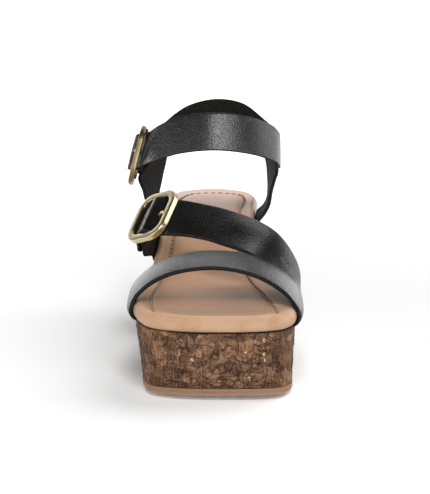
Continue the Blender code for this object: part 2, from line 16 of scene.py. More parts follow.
import bmesh
import bpy
import numpy as np
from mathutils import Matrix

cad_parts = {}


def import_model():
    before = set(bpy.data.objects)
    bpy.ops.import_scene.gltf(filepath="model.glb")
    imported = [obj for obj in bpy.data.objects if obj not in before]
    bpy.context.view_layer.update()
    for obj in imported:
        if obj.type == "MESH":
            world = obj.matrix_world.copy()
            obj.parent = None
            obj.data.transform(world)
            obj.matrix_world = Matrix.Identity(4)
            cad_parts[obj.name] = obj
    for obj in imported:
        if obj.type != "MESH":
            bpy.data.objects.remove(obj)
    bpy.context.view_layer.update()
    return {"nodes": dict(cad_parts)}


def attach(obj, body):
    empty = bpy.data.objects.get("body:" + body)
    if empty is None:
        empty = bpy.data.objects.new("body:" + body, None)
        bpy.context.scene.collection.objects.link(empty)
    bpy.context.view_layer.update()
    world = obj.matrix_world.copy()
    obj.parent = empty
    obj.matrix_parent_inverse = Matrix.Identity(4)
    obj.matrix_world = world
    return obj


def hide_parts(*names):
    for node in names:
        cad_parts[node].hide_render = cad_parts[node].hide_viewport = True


LOG = logging.getLogger("wedge_sandal")
MM = 0.001
ORIGIN = np.array([-2.95, 124.0, 0.0])
BODY = "root"
# Millimetres left between pieces that lie on each other.
GAP = 0.3
# Points whose distances are worked out at a time.
CHUNK = 6000
# A length that never counts as near.
FAR = 1e9
# Metres within which two points are one, and under which an edge has collapsed.
WELD, COLLAPSED = 2e-6, 1e-7


class Side(Enum):
    """The two long sides of the shoe."""

    INNER = "inner"
    OUTER = "outer"


class Slot(Enum):
    """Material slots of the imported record."""

    RUBBER = "outsole_rubber"
    CORK = "cork"
    FOOTBED = "footbed_leather"
    STRAP = "strap_leather"
    BRASS = "antique_brass"


class Reach(Enum):
    """What a lamp gives: mirrored light alone, or spread light alone."""

    MIRRORED = "mirrored"
    SPREAD = "spread"


# Arrays


def unit(v: np.ndarray) -> np.ndarray:
    """Vectors scaled to length one along the last axis."""
    return v / np.maximum(np.linalg.norm(v, axis=-1, keepdims=True), 1e-12)


def smoothstep(x: np.ndarray) -> np.ndarray:
    """Soft step from 0 to 1 as x goes from 0 to 1."""
    t = np.clip(x, 0.0, 1.0)
    return t * t * (3.0 - 2.0 * t)


def bell(x: np.ndarray, wide: float) -> np.ndarray:
    """Bell curve of x, 1 in its middle: the exponential of minus the square of x over its width."""
    return np.exp(-((x / wide) ** 2))


def circle(count: int) -> np.ndarray:
    """Angles spaced evenly round a whole turn."""
    return np.linspace(0, 2 * math.pi, count + 1)[:-1]


def run_along(points: np.ndarray) -> np.ndarray:
    """Length of a polyline up to each of its points."""
    return np.concatenate([[0.0], np.cumsum(np.linalg.norm(np.diff(points, axis=0), axis=1))])


def chunks(count: int) -> list[np.ndarray]:
    """Numbers of so many points, in parts small enough to measure at a time."""
    return np.array_split(np.arange(count), max(1, count // CHUNK))


def spline(rows: np.ndarray, counts: list[int], closed: bool = False) -> np.ndarray:
    """Centripetal Catmull-Rom curve through rows of numbers.

    Args:
        rows: One control row per line, any number of columns.
        counts: Samples taken in each span.
        closed: Whether the last row runs on into the first.

    Returns:
        The sampled rows; an open curve also ends on its last row.
    """
    n = len(rows)
    out = []
    for i in range(n if closed else n - 1):
        b, c = rows[i], rows[(i + 1) % n]
        a = rows[(i - 1) % n] if closed or i > 0 else 2 * b - c
        d = rows[(i + 2) % n] if closed or i + 2 < n else 2 * c - b
        steps = [max(1e-6, float(np.linalg.norm(q - p)) ** 0.5) for p, q in ((a, b), (b, c), (c, d))]
        t1, t2, t3 = np.cumsum(steps)
        s = (t1 + (t2 - t1) * np.arange(counts[i]) / counts[i])[:, None]
        ab = (a * (t1 - s) + b * s) / t1
        bc = (b * (t2 - s) + c * (s - t1)) / (t2 - t1)
        cd = (c * (t3 - s) + d * (s - t2)) / (t3 - t2)
        abc = (ab * (t2 - s) + bc * s) / t2
        bcd = (bc * (t3 - s) + cd * (s - t1)) / (t3 - t1)
        out.append((abc * (t2 - s) + bcd * (s - t1)) / (t2 - t1))
    if not closed:
        out.append(rows[-1][None])
    return np.vstack(out)


def even(points: np.ndarray, count: int) -> np.ndarray:
    """Points spaced evenly along a polyline.

    Args:
        points: Polyline whose first two columns are its place; further columns follow.
        count: Number of points returned, ends included.

    Returns:
        The resampled rows.
    """
    run = run_along(points[:, :2])
    at = np.linspace(0.0, run[-1], count)
    return np.stack([np.interp(at, run, points[:, k]) for k in range(points.shape[1])], axis=1)


def lattice(x: np.ndarray, y: np.ndarray, seed: int, period: int = 64) -> np.ndarray:
    """Value noise from -1 to 1: random numbers on a unit lattice, blended by soft steps.

    Args:
        x: First coordinate, in lattice cells; it repeats after the period.
        y: Second coordinate, in lattice cells.
        seed: Seed of the lattice.
        period: Cells after which the noise repeats.

    Returns:
        The noise at each point.
    """
    table = np.random.default_rng(seed).uniform(-1.0, 1.0, (period, period))
    i, j = np.floor(x).astype(int), np.floor(y).astype(int)
    u, v = smoothstep(x - i), smoothstep(y - j)
    i, j, i2, j2 = i % period, j % period, (i + 1) % period, (j + 1) % period
    low = table[i, j] * (1 - u) + table[i2, j] * u
    high = table[i, j2] * (1 - u) + table[i2, j2] * u
    return low * (1 - v) + high * v


def grid_normals(grid: np.ndarray) -> np.ndarray:
    """Unit normals of a grid of points: the cross product of its two slopes."""
    return unit(np.cross(np.gradient(grid, axis=0), np.gradient(grid, axis=1)))


def edges_row(front: np.ndarray, rear: np.ndarray, columns: int) -> np.ndarray:
    """A straight row of points from one edge of a strap to the other."""
    v = np.linspace(0.0, 1.0, columns)[:, None]
    return np.asarray(front) * (1 - v) + np.asarray(rear) * v


def edges_rows(table: tuple, columns: int) -> list[np.ndarray]:
    """Rows across a strap from a table of places on its two edges."""
    return [edges_row(line[:3], line[3:], columns) for line in table]


# Meshes


class Surface:
    """Points and faces of one piece, gathered from grids before they become a mesh."""

    def __init__(self) -> None:
        """Starts without points."""
        self.points: list[np.ndarray] = []
        self.faces: list[np.ndarray] = []
        self.values: dict[str, list[np.ndarray]] = {}
        self.count = 0

    def add(self, points: np.ndarray, faces: list[np.ndarray], **values: np.ndarray) -> None:
        """Adds points and the faces between them.

        Args:
            points: Places in millimetres.
            faces: Arrays of faces that index them.
            values: Numbers per point, by attribute name.
        """
        flat = points.reshape(-1, 3)
        self.points.append(flat)
        self.faces += [f + self.count for f in faces]
        for name in set(self.values) | set(values):
            bins = self.values.setdefault(name, [np.zeros(self.count)])
            bins.append(np.broadcast_to(values.get(name, 0.0), points.shape[:-1]).reshape(-1))
        self.count += len(flat)

    def grid(
        self,
        points: np.ndarray,
        close_u: bool = False,
        close_v: bool = False,
        caps: bool = False,
        **values: np.ndarray,
    ) -> None:
        """Adds a grid of points as quads.

        Args:
            points: Array (u, v, 3); the outer side is along the cross product of u and v.
            close_u: Joins the last line along u to the first.
            close_v: Joins the last line along v to the first.
            caps: Closes both ends of a tube along u by rungs between the halves of its loop.
            values: Numbers per point, by attribute name.
        """
        nu, nv = points.shape[:2]
        index = np.arange(nu * nv).reshape(nu, nv)
        first, last = index[0], index[-1]
        if close_u:
            index = np.vstack([index, index[:1]])
        if close_v:
            index = np.hstack([index, index[:, :1]])
        quads = np.stack([index[:-1, :-1], index[1:, :-1], index[1:, 1:], index[:-1, 1:]], axis=-1)
        faces = [quads.reshape(-1, 4)]
        if caps:
            k = np.arange(nv // 2 - 1)
            bars = np.stack([k, k + 1, nv - 2 - k, nv - 1 - k], axis=1)
            faces += [first[bars], last[bars[:, ::-1]]]
        self.add(points, faces, **values)

    def object(
        self,
        name: str,
        finish: bpy.types.Material,
        weld: bool = False,
        others: tuple = (),
        groups: np.ndarray | None = None,
    ) -> bpy.types.Object:
        """Makes the mesh object, smooth shaded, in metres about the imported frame's origin.

        Args:
            name: Name of the piece.
            finish: Its material.
            weld: Merges coincident points and drops faces that have collapsed.
            others: Further materials.
            groups: Number of the material of each face.

        Returns:
            The new object, linked to the scene.
        """
        mesh = bpy.data.meshes.new(name)
        verts = (np.vstack(self.points) - ORIGIN) * MM
        mesh.from_pydata(verts.tolist(), [], np.vstack(self.faces).tolist())
        for key, bins in self.values.items():
            layer = mesh.attributes.new(key, "FLOAT", "POINT")
            layer.data.foreach_set("value", np.concatenate(bins).astype(np.float32))
        if weld:
            bm = bmesh.new()
            bm.from_mesh(mesh)
            bmesh.ops.remove_doubles(bm, verts=bm.verts, dist=WELD)
            bmesh.ops.dissolve_degenerate(bm, dist=COLLAPSED, edges=bm.edges)
            bm.to_mesh(mesh)
            bm.free()
        mesh.materials.append(finish)
        for other in others:
            mesh.materials.append(other)
        if groups is not None:
            mesh.polygons.foreach_set("material_index", groups.astype(np.int32))
        mesh.shade_smooth()
        mesh.update()
        obj = bpy.data.objects.new(name, mesh)
        bpy.context.scene.collection.objects.link(obj)
        return obj


def settle(obj: bpy.types.Object, slot: Slot, *nodes: str) -> bpy.types.Object:
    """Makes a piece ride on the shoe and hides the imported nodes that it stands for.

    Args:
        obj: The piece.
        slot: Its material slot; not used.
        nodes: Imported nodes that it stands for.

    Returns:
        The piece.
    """
    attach(obj, BODY)
    if nodes:
        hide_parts(*nodes)
    LOG.info("%s: %d faces", obj.name, len(obj.data.polygons))
    return obj


def rungs(ring: np.ndarray, columns: int) -> np.ndarray:
    """Straight rungs across a ring of the plan.

    Args:
        ring: Points of the ring, toe tip first.
        columns: Steps along each rung.

    Returns:
        Grid of points (along the shoe, from the inner side to the outer side).
    """
    half = len(ring) // 2
    inner, outer = ring[: half + 1], np.vstack([ring[half:], ring[:1]])[::-1]
    t = np.linspace(0, 1, columns + 1)[None, :, None]
    return inner[:, None] * (1 - t) + outer[:, None] * t


def lid(made: Surface, ring: np.ndarray, columns: int, down: bool) -> None:
    """Closes a ring of the plan with rungs, looking up or down."""
    grid = rungs(ring, columns)
    made.grid(grid[:, ::-1] if down else grid)


# Shader maths


class Sock:
    """A shader value that takes part in Python expressions; each operator adds a Math node."""

    def __init__(self, shader: Shader, socket: bpy.types.NodeSocket) -> None:
        """Wraps a socket of a shader."""
        self.shader = shader
        self.socket = socket

    def _math(self, operation: str, *others: Sock | float) -> Sock:
        """A Math node on this value and the others."""
        return self.shader.node("ShaderNodeMath", {"operation": operation}, [self, *others])

    def __add__(self, other: Sock | float) -> Sock:
        """Sum."""
        return self._math("ADD", other)

    __radd__ = __add__

    def __mul__(self, other: Sock | float) -> Sock:
        """Product."""
        return self._math("MULTIPLY", other)

    __rmul__ = __mul__

    def __sub__(self, other: Sock | float) -> Sock:
        """Difference."""
        return self._math("SUBTRACT", other)

    def __rsub__(self, other: float) -> Sock:
        """Difference from a number."""
        return (self * -1.0) + other

    def at_least(self, other: Sock | float) -> Sock:
        """The greater of two values."""
        return self._math("MAXIMUM", other)

    def between(self, low: float, high: float) -> Sock:
        """Soft step from 0 at low to 1 at high."""
        settings = {"interpolation_type": "SMOOTHSTEP", "clamp": True}
        return self.shader.node("ShaderNodeMapRange", settings, [self, low, high])


class Shader:
    """A Principled material whose other nodes all come from one method."""

    def __init__(self, name: str) -> None:
        """Makes a material with its Principled node.

        Args:
            name: Its name.
        """
        self.material = bpy.data.materials.new(name)
        self.material.use_nodes = True
        self.tree = self.material.node_tree
        self.surface = self.tree.nodes["Principled BSDF"]

    def feed(self, socket: bpy.types.NodeSocket, value: object) -> None:
        """Links a shader value to a socket, or sets a plain one on it.

        Args:
            socket: Input socket.
            value: A shader value, a number or a tuple; a colour may have three parts.
        """
        if isinstance(value, Sock):
            self.tree.links.new(value.socket, socket)
        elif isinstance(value, tuple) and socket.type == "RGBA" and len(value) == 3:
            socket.default_value = (*value, 1.0)
        else:
            socket.default_value = value

    def node(self, kind: str, settings: dict, inputs: dict | list, output: int | str = 0) -> Sock:
        """Adds any node.

        Args:
            kind: Blender's name of the node type.
            settings: Properties set first; "stops" are a ramp's positions and colours.
            inputs: Values or links by socket name or index, or in order.
            output: Socket that the result wraps.

        Returns:
            The wrapped output socket.
        """
        made = self.tree.nodes.new(kind)
        for key, value in settings.items():
            if key == "stops":
                ramp = made.color_ramp.elements
                while len(ramp) < len(value):
                    ramp.new(0.5)
                for element, (position, colour) in zip(ramp, value):
                    element.position = position
                    element.color = (*colour, 1.0)
            else:
                setattr(made, key, value)
        pairs = enumerate(inputs) if isinstance(inputs, list) else inputs.items()
        for key, value in pairs:
            self.feed(made.inputs[key], value)
        return Sock(self, made.outputs[output])

    @cached_property
    def place(self) -> Sock:
        """Object coordinates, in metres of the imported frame."""
        return self.node("ShaderNodeTexCoord", {}, {}, "Object")

    def stretched(self, scale: tuple, turn: tuple = (0.0, 0.0, 0.0), place: Sock | None = None) -> Sock:
        """A place turned and scaled, for a pattern with a direction."""
        inputs = {"Vector": place or self.place, "Scale": scale, "Rotation": turn}
        return self.node("ShaderNodeMapping", {}, inputs)

    def noise(
        self, scale: float, detail: float = 3.0, rough: float = 0.55, place: Sock | None = None
    ) -> Sock:
        """Noise from 0 to 1 with so many lumps to the metre."""
        inputs = {"Vector": place or self.place, "Scale": scale, "Detail": detail, "Roughness": rough}
        return self.node("ShaderNodeTexNoise", {}, inputs)

    def cells(self, scale: float, feature: str, place: Sock | None = None) -> Sock:
        """Distance within rounded cells, so many to the metre."""
        inputs = {"Vector": place or self.place, "Scale": scale}
        return self.node("ShaderNodeTexVoronoi", {"feature": feature}, inputs, "Distance")

    def value(self, name: str) -> Sock:
        """A number stored on the mesh."""
        return self.node("ShaderNodeAttribute", {"attribute_name": name}, {}, "Fac")

    def mix(self, factor: Sock | float, a: Sock | tuple, b: Sock | tuple) -> Sock:
        """Colour a where the factor is 0 and b where it is 1."""
        return self.node("ShaderNodeMix", {"data_type": "RGBA"}, {0: factor, 6: a, 7: b}, 2)

    def ramp(self, factor: Sock, stops: list[tuple[float, tuple[float, float, float]]]) -> Sock:
        """Colours along a ramp."""
        return self.node("ShaderNodeValToRGB", {"stops": stops}, {"Fac": factor})

    def relief(self, height: Sock, depth: float) -> None:
        """Bump of a height from 0 to 1 that stands for so many metres."""
        inputs = {"Height": height, "Strength": 1.0, "Distance": depth}
        self.feed(self.surface.inputs["Normal"], self.node("ShaderNodeBump", {}, inputs, "Normal"))

    def dress(self, **sockets: object) -> bpy.types.Material:
        """Feeds the Principled sockets.

        Args:
            sockets: Values by socket name, with underscores for spaces.

        Returns:
            The material.
        """
        for key, value in sockets.items():
            self.feed(self.surface.inputs[key.replace("_", " ")], value)
        return self.material


# Finishes


@dataclass(frozen=True)
class StrapLeather:
    """Smooth black leather with a pebbled grain, and painted shade in its punched holes."""

    name: str = "black strap leather"
    face: tuple = (0.0036, 0.0034, 0.0031)
    worn: tuple = (0.0062, 0.0060, 0.0056)
    # Painted shade in the punched holes.
    hole: tuple = (0.001, 0.001, 0.001)
    rough: float = 0.34
    grain_cells: float = 900.0
    grain_depth: float = 0.00024

    def make(self) -> bpy.types.Material:
        """Grain is a field of small cells and wrinkles; it fades where the attribute edge marks the rim.

        Returns:
            The material.
        """
        s = Shader(self.name)
        pebble = s.cells(self.grain_cells, "SMOOTH_F1")
        wrinkle = s.noise(800.0, 3.0, 0.6)
        fine = s.noise(2600.0, 2.0)
        broad = s.noise(70.0, 4.0)
        edge = s.value("edge")
        colour = s.mix(broad.between(0.3, 0.75), self.face, self.worn)
        # Painted shade in the punched holes.
        colour = s.mix(s.value("hole"), colour, self.hole)
        rough = broad * 0.10 + fine * 0.10 + (self.rough - 0.1) + edge * 0.14
        s.relief((pebble * 0.9 + wrinkle * 0.8 + fine * 0.15) * (1.0 - edge * 0.85), self.grain_depth)
        shine = (wrinkle * 0.6 + fine * 0.4).between(0.36, 0.62) * 0.55
        gloss = {"Specular_IOR_Level": 0.5, "Coat_Weight": shine, "Coat_Roughness": 0.34}
        return s.dress(Base_Color=colour, Roughness=rough, **gloss)


@dataclass(frozen=True)
class EdgePaint:
    """Black paint on the cut edges of the straps."""

    name: str = "black edge paint"
    black: tuple = (0.0042, 0.0040, 0.0038)
    dusty: tuple = (0.0085, 0.0080, 0.0074)

    def make(self) -> bpy.types.Material:
        """Thick paint that shows a little of the fibres under it.

        Returns:
            The material.
        """
        s = Shader(self.name)
        drag = s.noise(700.0, 3.0, 0.6)
        s.relief(drag, 0.0001)
        colour = s.mix(drag.between(0.4, 0.75), self.black, self.dusty)
        return s.dress(Base_Color=colour, Roughness=drag * 0.15 + 0.46, Specular_IOR_Level=0.2)


@dataclass(frozen=True)
class StrapLining:
    """Dark lining on a strap's inner face, napped and dull."""

    name: str = "dark strap lining"
    dark: tuple = (0.0065, 0.0054, 0.0045)
    brown: tuple = (0.017, 0.0135, 0.0105)

    def make(self) -> bpy.types.Material:
        """Two browns in small clouds under a short nap.

        Returns:
            The material.
        """
        s = Shader(self.name)
        cloud = s.noise(260.0, 4.0, 0.65)
        nap = s.noise(1700.0, 3.0, 0.65)
        colour = s.mix((cloud * 0.6 + nap * 0.4).between(0.35, 0.7), self.dark, self.brown)
        s.relief(nap * 0.7 + cloud * 0.5, 0.00022)
        return s.dress(Base_Color=colour, Roughness=nap * 0.1 + 0.72, Specular_IOR_Level=0.18)


@dataclass(frozen=True)
class FootbedLeather:
    """Tan leather over foam, paler and pinker on its rolled lip."""

    name: str = "tan footbed leather"
    tan: tuple = (0.475, 0.262, 0.144)
    deep: tuple = (0.405, 0.214, 0.113)
    pale: tuple = (0.56, 0.366, 0.238)
    # Painted sheen: paler and pinker towards the heel.
    heel_sheen: tuple = (0.60, 0.405, 0.32)
    # Painted shade and grey sheen just behind the lip, where the toe band shades the footbed.
    toe: tuple = (0.29, 0.195, 0.135)
    # Painted shade in the sewn trough and its holes.
    seam: tuple = (0.13, 0.065, 0.036)
    rough: float = 0.44

    def make(self) -> bpy.types.Material:
        """Colour drifts in soft clouds; the attribute lip marks the paler rolled edge, heel a painted sheen,
        toe and seam painted shade.

        Returns:
            The material.
        """
        s = Shader(self.name)
        cloud = s.noise(28.0, 4.0)
        grain = s.cells(760.0, "SMOOTH_F1")
        fine = s.noise(1300.0, 3.0)
        colour = s.mix(cloud.between(0.25, 0.8), self.tan, self.deep)
        fade = s.noise(75.0, 3.0).between(0.3, 0.7) * 0.5 + 0.35
        colour = s.mix(s.value("lip") * fade, colour, self.pale)
        # Painted sheen towards the heel.
        colour = s.mix(s.value("heel") * 0.75, colour, self.heel_sheen)
        # Painted shade and grey sheen behind the lip.
        colour = s.mix(s.value("toe") * 0.8, colour, self.toe)
        # Painted shade in the sewn trough and its holes.
        colour = s.mix(s.value("seam") * 0.85, colour, self.seam)
        colour = s.mix(fine.between(0.55, 0.85) * 0.12, colour, self.pale)
        s.relief(grain * 0.6 + fine * 0.6, 0.00016)
        rough = fine * 0.16 + (self.rough - 0.08)
        return s.dress(Base_Color=colour, Roughness=rough, Specular_IOR_Level=0.36)


@dataclass(frozen=True)
class CorkVeneer:
    """Pressed cork: streaked chips, crumbs and dark crevices between them, a few gold flecks."""

    name: str = "cork veneer"
    dark: tuple = (0.030, 0.014, 0.007)
    mid: tuple = (0.168, 0.082, 0.0402)
    light: tuple = (0.405, 0.228, 0.127)
    crevice: tuple = (0.012, 0.007, 0.005)
    gold: tuple = (0.95, 0.66, 0.26)
    flakes: float = 165.0
    crumbs: float = 460.0

    def make(self) -> bpy.types.Material:
        """Flakes and crumbs are cut from warped cells; attributes mark where they crumble and the corners,
        where the fibres turn and the cork is painted lighter.

        Returns:
            The material.
        """
        s = Shader(self.name)
        tone, wrap, crumbled = s.value("tone"), s.value("wrap"), s.value("crumbled")
        bend = s.node("ShaderNodeTexNoise", {}, {"Vector": s.place, "Scale": 300.0, "Detail": 2.0}, "Color")
        shift = s.node("ShaderNodeVectorMath", {"operation": "SCALE"}, {0: bend, "Scale": 0.0022})
        bent = s.node("ShaderNodeVectorMath", {"operation": "ADD"}, [s.place, shift])
        drawn = s.stretched((0.82, 0.82, 1.0), place=bent)
        flake = s.node("ShaderNodeTexVoronoi", {}, {"Vector": drawn, "Scale": self.flakes}, "Color")
        red, green = (s.node("ShaderNodeSeparateColor", {}, [flake], band) for band in ("Red", "Green"))
        # At the corners the fibres turn.
        way = green + wrap
        upright = s.noise(1.0, 4.0, 0.7, s.stretched((1000.0, 1000.0, 130.0)))
        level = s.noise(1.0, 4.0, 0.7, s.stretched((150.0, 150.0, 1000.0)))
        slant = s.noise(1.0, 4.0, 0.7, s.stretched((1000.0, 400.0, 150.0), (0.0, 0.8, 0.0)))
        fibre = s.node("ShaderNodeMix", {}, {0: way.between(0.30, 0.32), 2: slant, 3: level})
        fibre = s.node("ShaderNodeMix", {}, {0: way.between(0.62, 0.64), 2: fibre, 3: upright})
        speck = s.noise(1300.0, 3.0, 0.7)
        crumb = s.node("ShaderNodeTexVoronoi", {}, {"Vector": bent, "Scale": self.crumbs}, "Color")
        border = s.cells(self.crumbs, "DISTANCE_TO_EDGE", bent)
        veil = s.noise(210.0, 3.0, 0.6).between(0.38, 0.56)
        split = (1.0 - border.between(0.02, 0.08)) * crumbled * veil
        rim = s.cells(self.flakes, "DISTANCE_TO_EDGE", drawn)
        broken = s.noise(260.0, 3.0, 0.6).between(0.36, 0.52)
        # Fewer cracks at the corners: painted light.
        line = (1.0 - rim.between(0.015, 0.05)) * broken * (1.0 - wrap)
        body = (tone * 0.4 + red * 0.6) * (1.0 - crumbled * 0.7) + crumb * crumbled * 0.7
        shade = body - 0.5 + (fibre - 0.5) * 1.75 + (speck - 0.5) * 1.3 + 0.435
        colour = s.ramp(shade, [(0.0, self.dark), (0.45, self.mid), (1.0, self.light)])
        pits = s.noise(620.0, 3.0, 0.65).between(0.61, 0.66) * 0.8
        crack = (s.value("crevice") * 0.6).at_least(line * 0.92).at_least(split * 0.9).at_least(pits)
        colour = s.mix(crack, colour, self.crevice)
        fleck = s.value("fleck") * s.noise(1000.0, 2.0, 0.6).between(0.42, 0.52)
        colour = s.mix(fleck, colour, self.gold)
        s.relief(fibre * 0.6 + speck * 0.4 - crack * 0.7, 0.0003)
        gloss = {"Metallic": fleck * 0.7, "Specular_IOR_Level": 0.25}
        return s.dress(Base_Color=colour, Roughness=0.78 - fleck * 0.5, **gloss)


@dataclass(frozen=True)
class OutsoleRubber:
    """Tan moulded rubber, slightly scuffed, paler along its lower edge as painted bounce light from the
    floor.
    """

    name: str = "tan outsole rubber"
    tan: tuple = (0.318, 0.180, 0.103)
    scuff: tuple = (0.262, 0.144, 0.081)
    # Painted bounce light from the floor along the lower edge.
    worn: tuple = (0.52, 0.30, 0.175)

    def make(self) -> bpy.types.Material:
        """Two tans in soft clouds, a paler one as painted floor bounce light along the lower edge, with a
        fine moulded grain.

        Returns:
            The material.
        """
        s = Shader(self.name)
        cloud = s.noise(90.0, 5.0, 0.65)
        grain = s.noise(1500.0, 3.0)
        colour = s.mix(cloud.between(0.35, 0.75), self.tan, self.scuff)
        # Painted bounce light from the floor along the lower edge.
        colour = s.mix(s.value("worn"), colour, self.worn)
        s.relief(grain, 0.00012)
        return s.dress(Base_Color=colour, Roughness=grain * 0.2 + 0.5, Specular_IOR_Level=0.35)


@dataclass(frozen=True)
class AntiqueBrass:
    """Cast brass with a brown patina, rubbed bright on its rims."""

    name: str = "antique brass"
    bright: tuple = (0.74, 0.63, 0.39)
    aged: tuple = (0.165, 0.110, 0.052)
    rough: float = 0.27

    def make(self) -> bpy.types.Material:
        """Patina follows an attribute and soft clouds, and leaves the rubbed rims; on the bar the same
        attribute paints shade.

        Returns:
            The material.
        """
        s = Shader(self.name)
        cloud = s.noise(130.0, 4.0, 0.6)
        fine = s.noise(2200.0, 3.0)
        patina = (s.value("stain") + (cloud - 0.5) * 0.5).between(0.0, 1.0)
        colour = s.mix(patina, self.bright, self.aged)
        s.relief(fine * 0.6 + cloud * 0.4, 0.00004)
        rough = patina * 0.2 + fine * 0.08 + self.rough - 0.04
        return s.dress(Base_Color=colour, Metallic=1.0, Roughness=rough)


@dataclass(frozen=True)
class WaxedThread:
    """Brown waxed sewing thread."""

    name: str = "brown thread"
    brown: tuple = (0.20, 0.115, 0.068)
    # Painted highlight along the twisted strands.
    light: tuple = (0.52, 0.39, 0.285)

    def make(self) -> bpy.types.Material:
        """An attribute runs along each stitch and draws its twisted strands; their light tone is a painted
        highlight.

        Returns:
            The material.
        """
        s = Shader(self.name)
        # Strands: bumps, and a painted highlight in the light tone.
        strand_and_highlight = s.value("ply").between(0.3, 0.7)
        s.relief(strand_and_highlight, 0.0001)
        return s.dress(Base_Color=s.mix(strand_and_highlight, self.brown, self.light), Roughness=0.6)


@dataclass(frozen=True)
class StudioFloor:
    """White studio paper."""

    name: str = "white paper"
    white: tuple = (0.88, 0.88, 0.88)
    near: tuple = (0.102, 0.106, 0.108)
    far: tuple = (0.95, 0.95, 0.95)

    def make(self) -> bpy.types.Material:
        """Near white with a faint tooth; it glows a little, and more the further it lies from the shoe.

        Returns:
            The material.
        """
        s = Shader(self.name)
        s.relief(s.noise(300.0), 0.00002)
        away = s.node("ShaderNodeVectorMath", {"operation": "LENGTH"}, [s.place], "Value")
        colour = s.mix(away.between(0.16, 0.9), self.near, self.far)
        glow = {"Emission_Color": colour, "Emission_Strength": 1.0}
        return s.dress(Base_Color=self.white, Roughness=0.9, Specular_IOR_Level=0.1, **glow)


# The sole


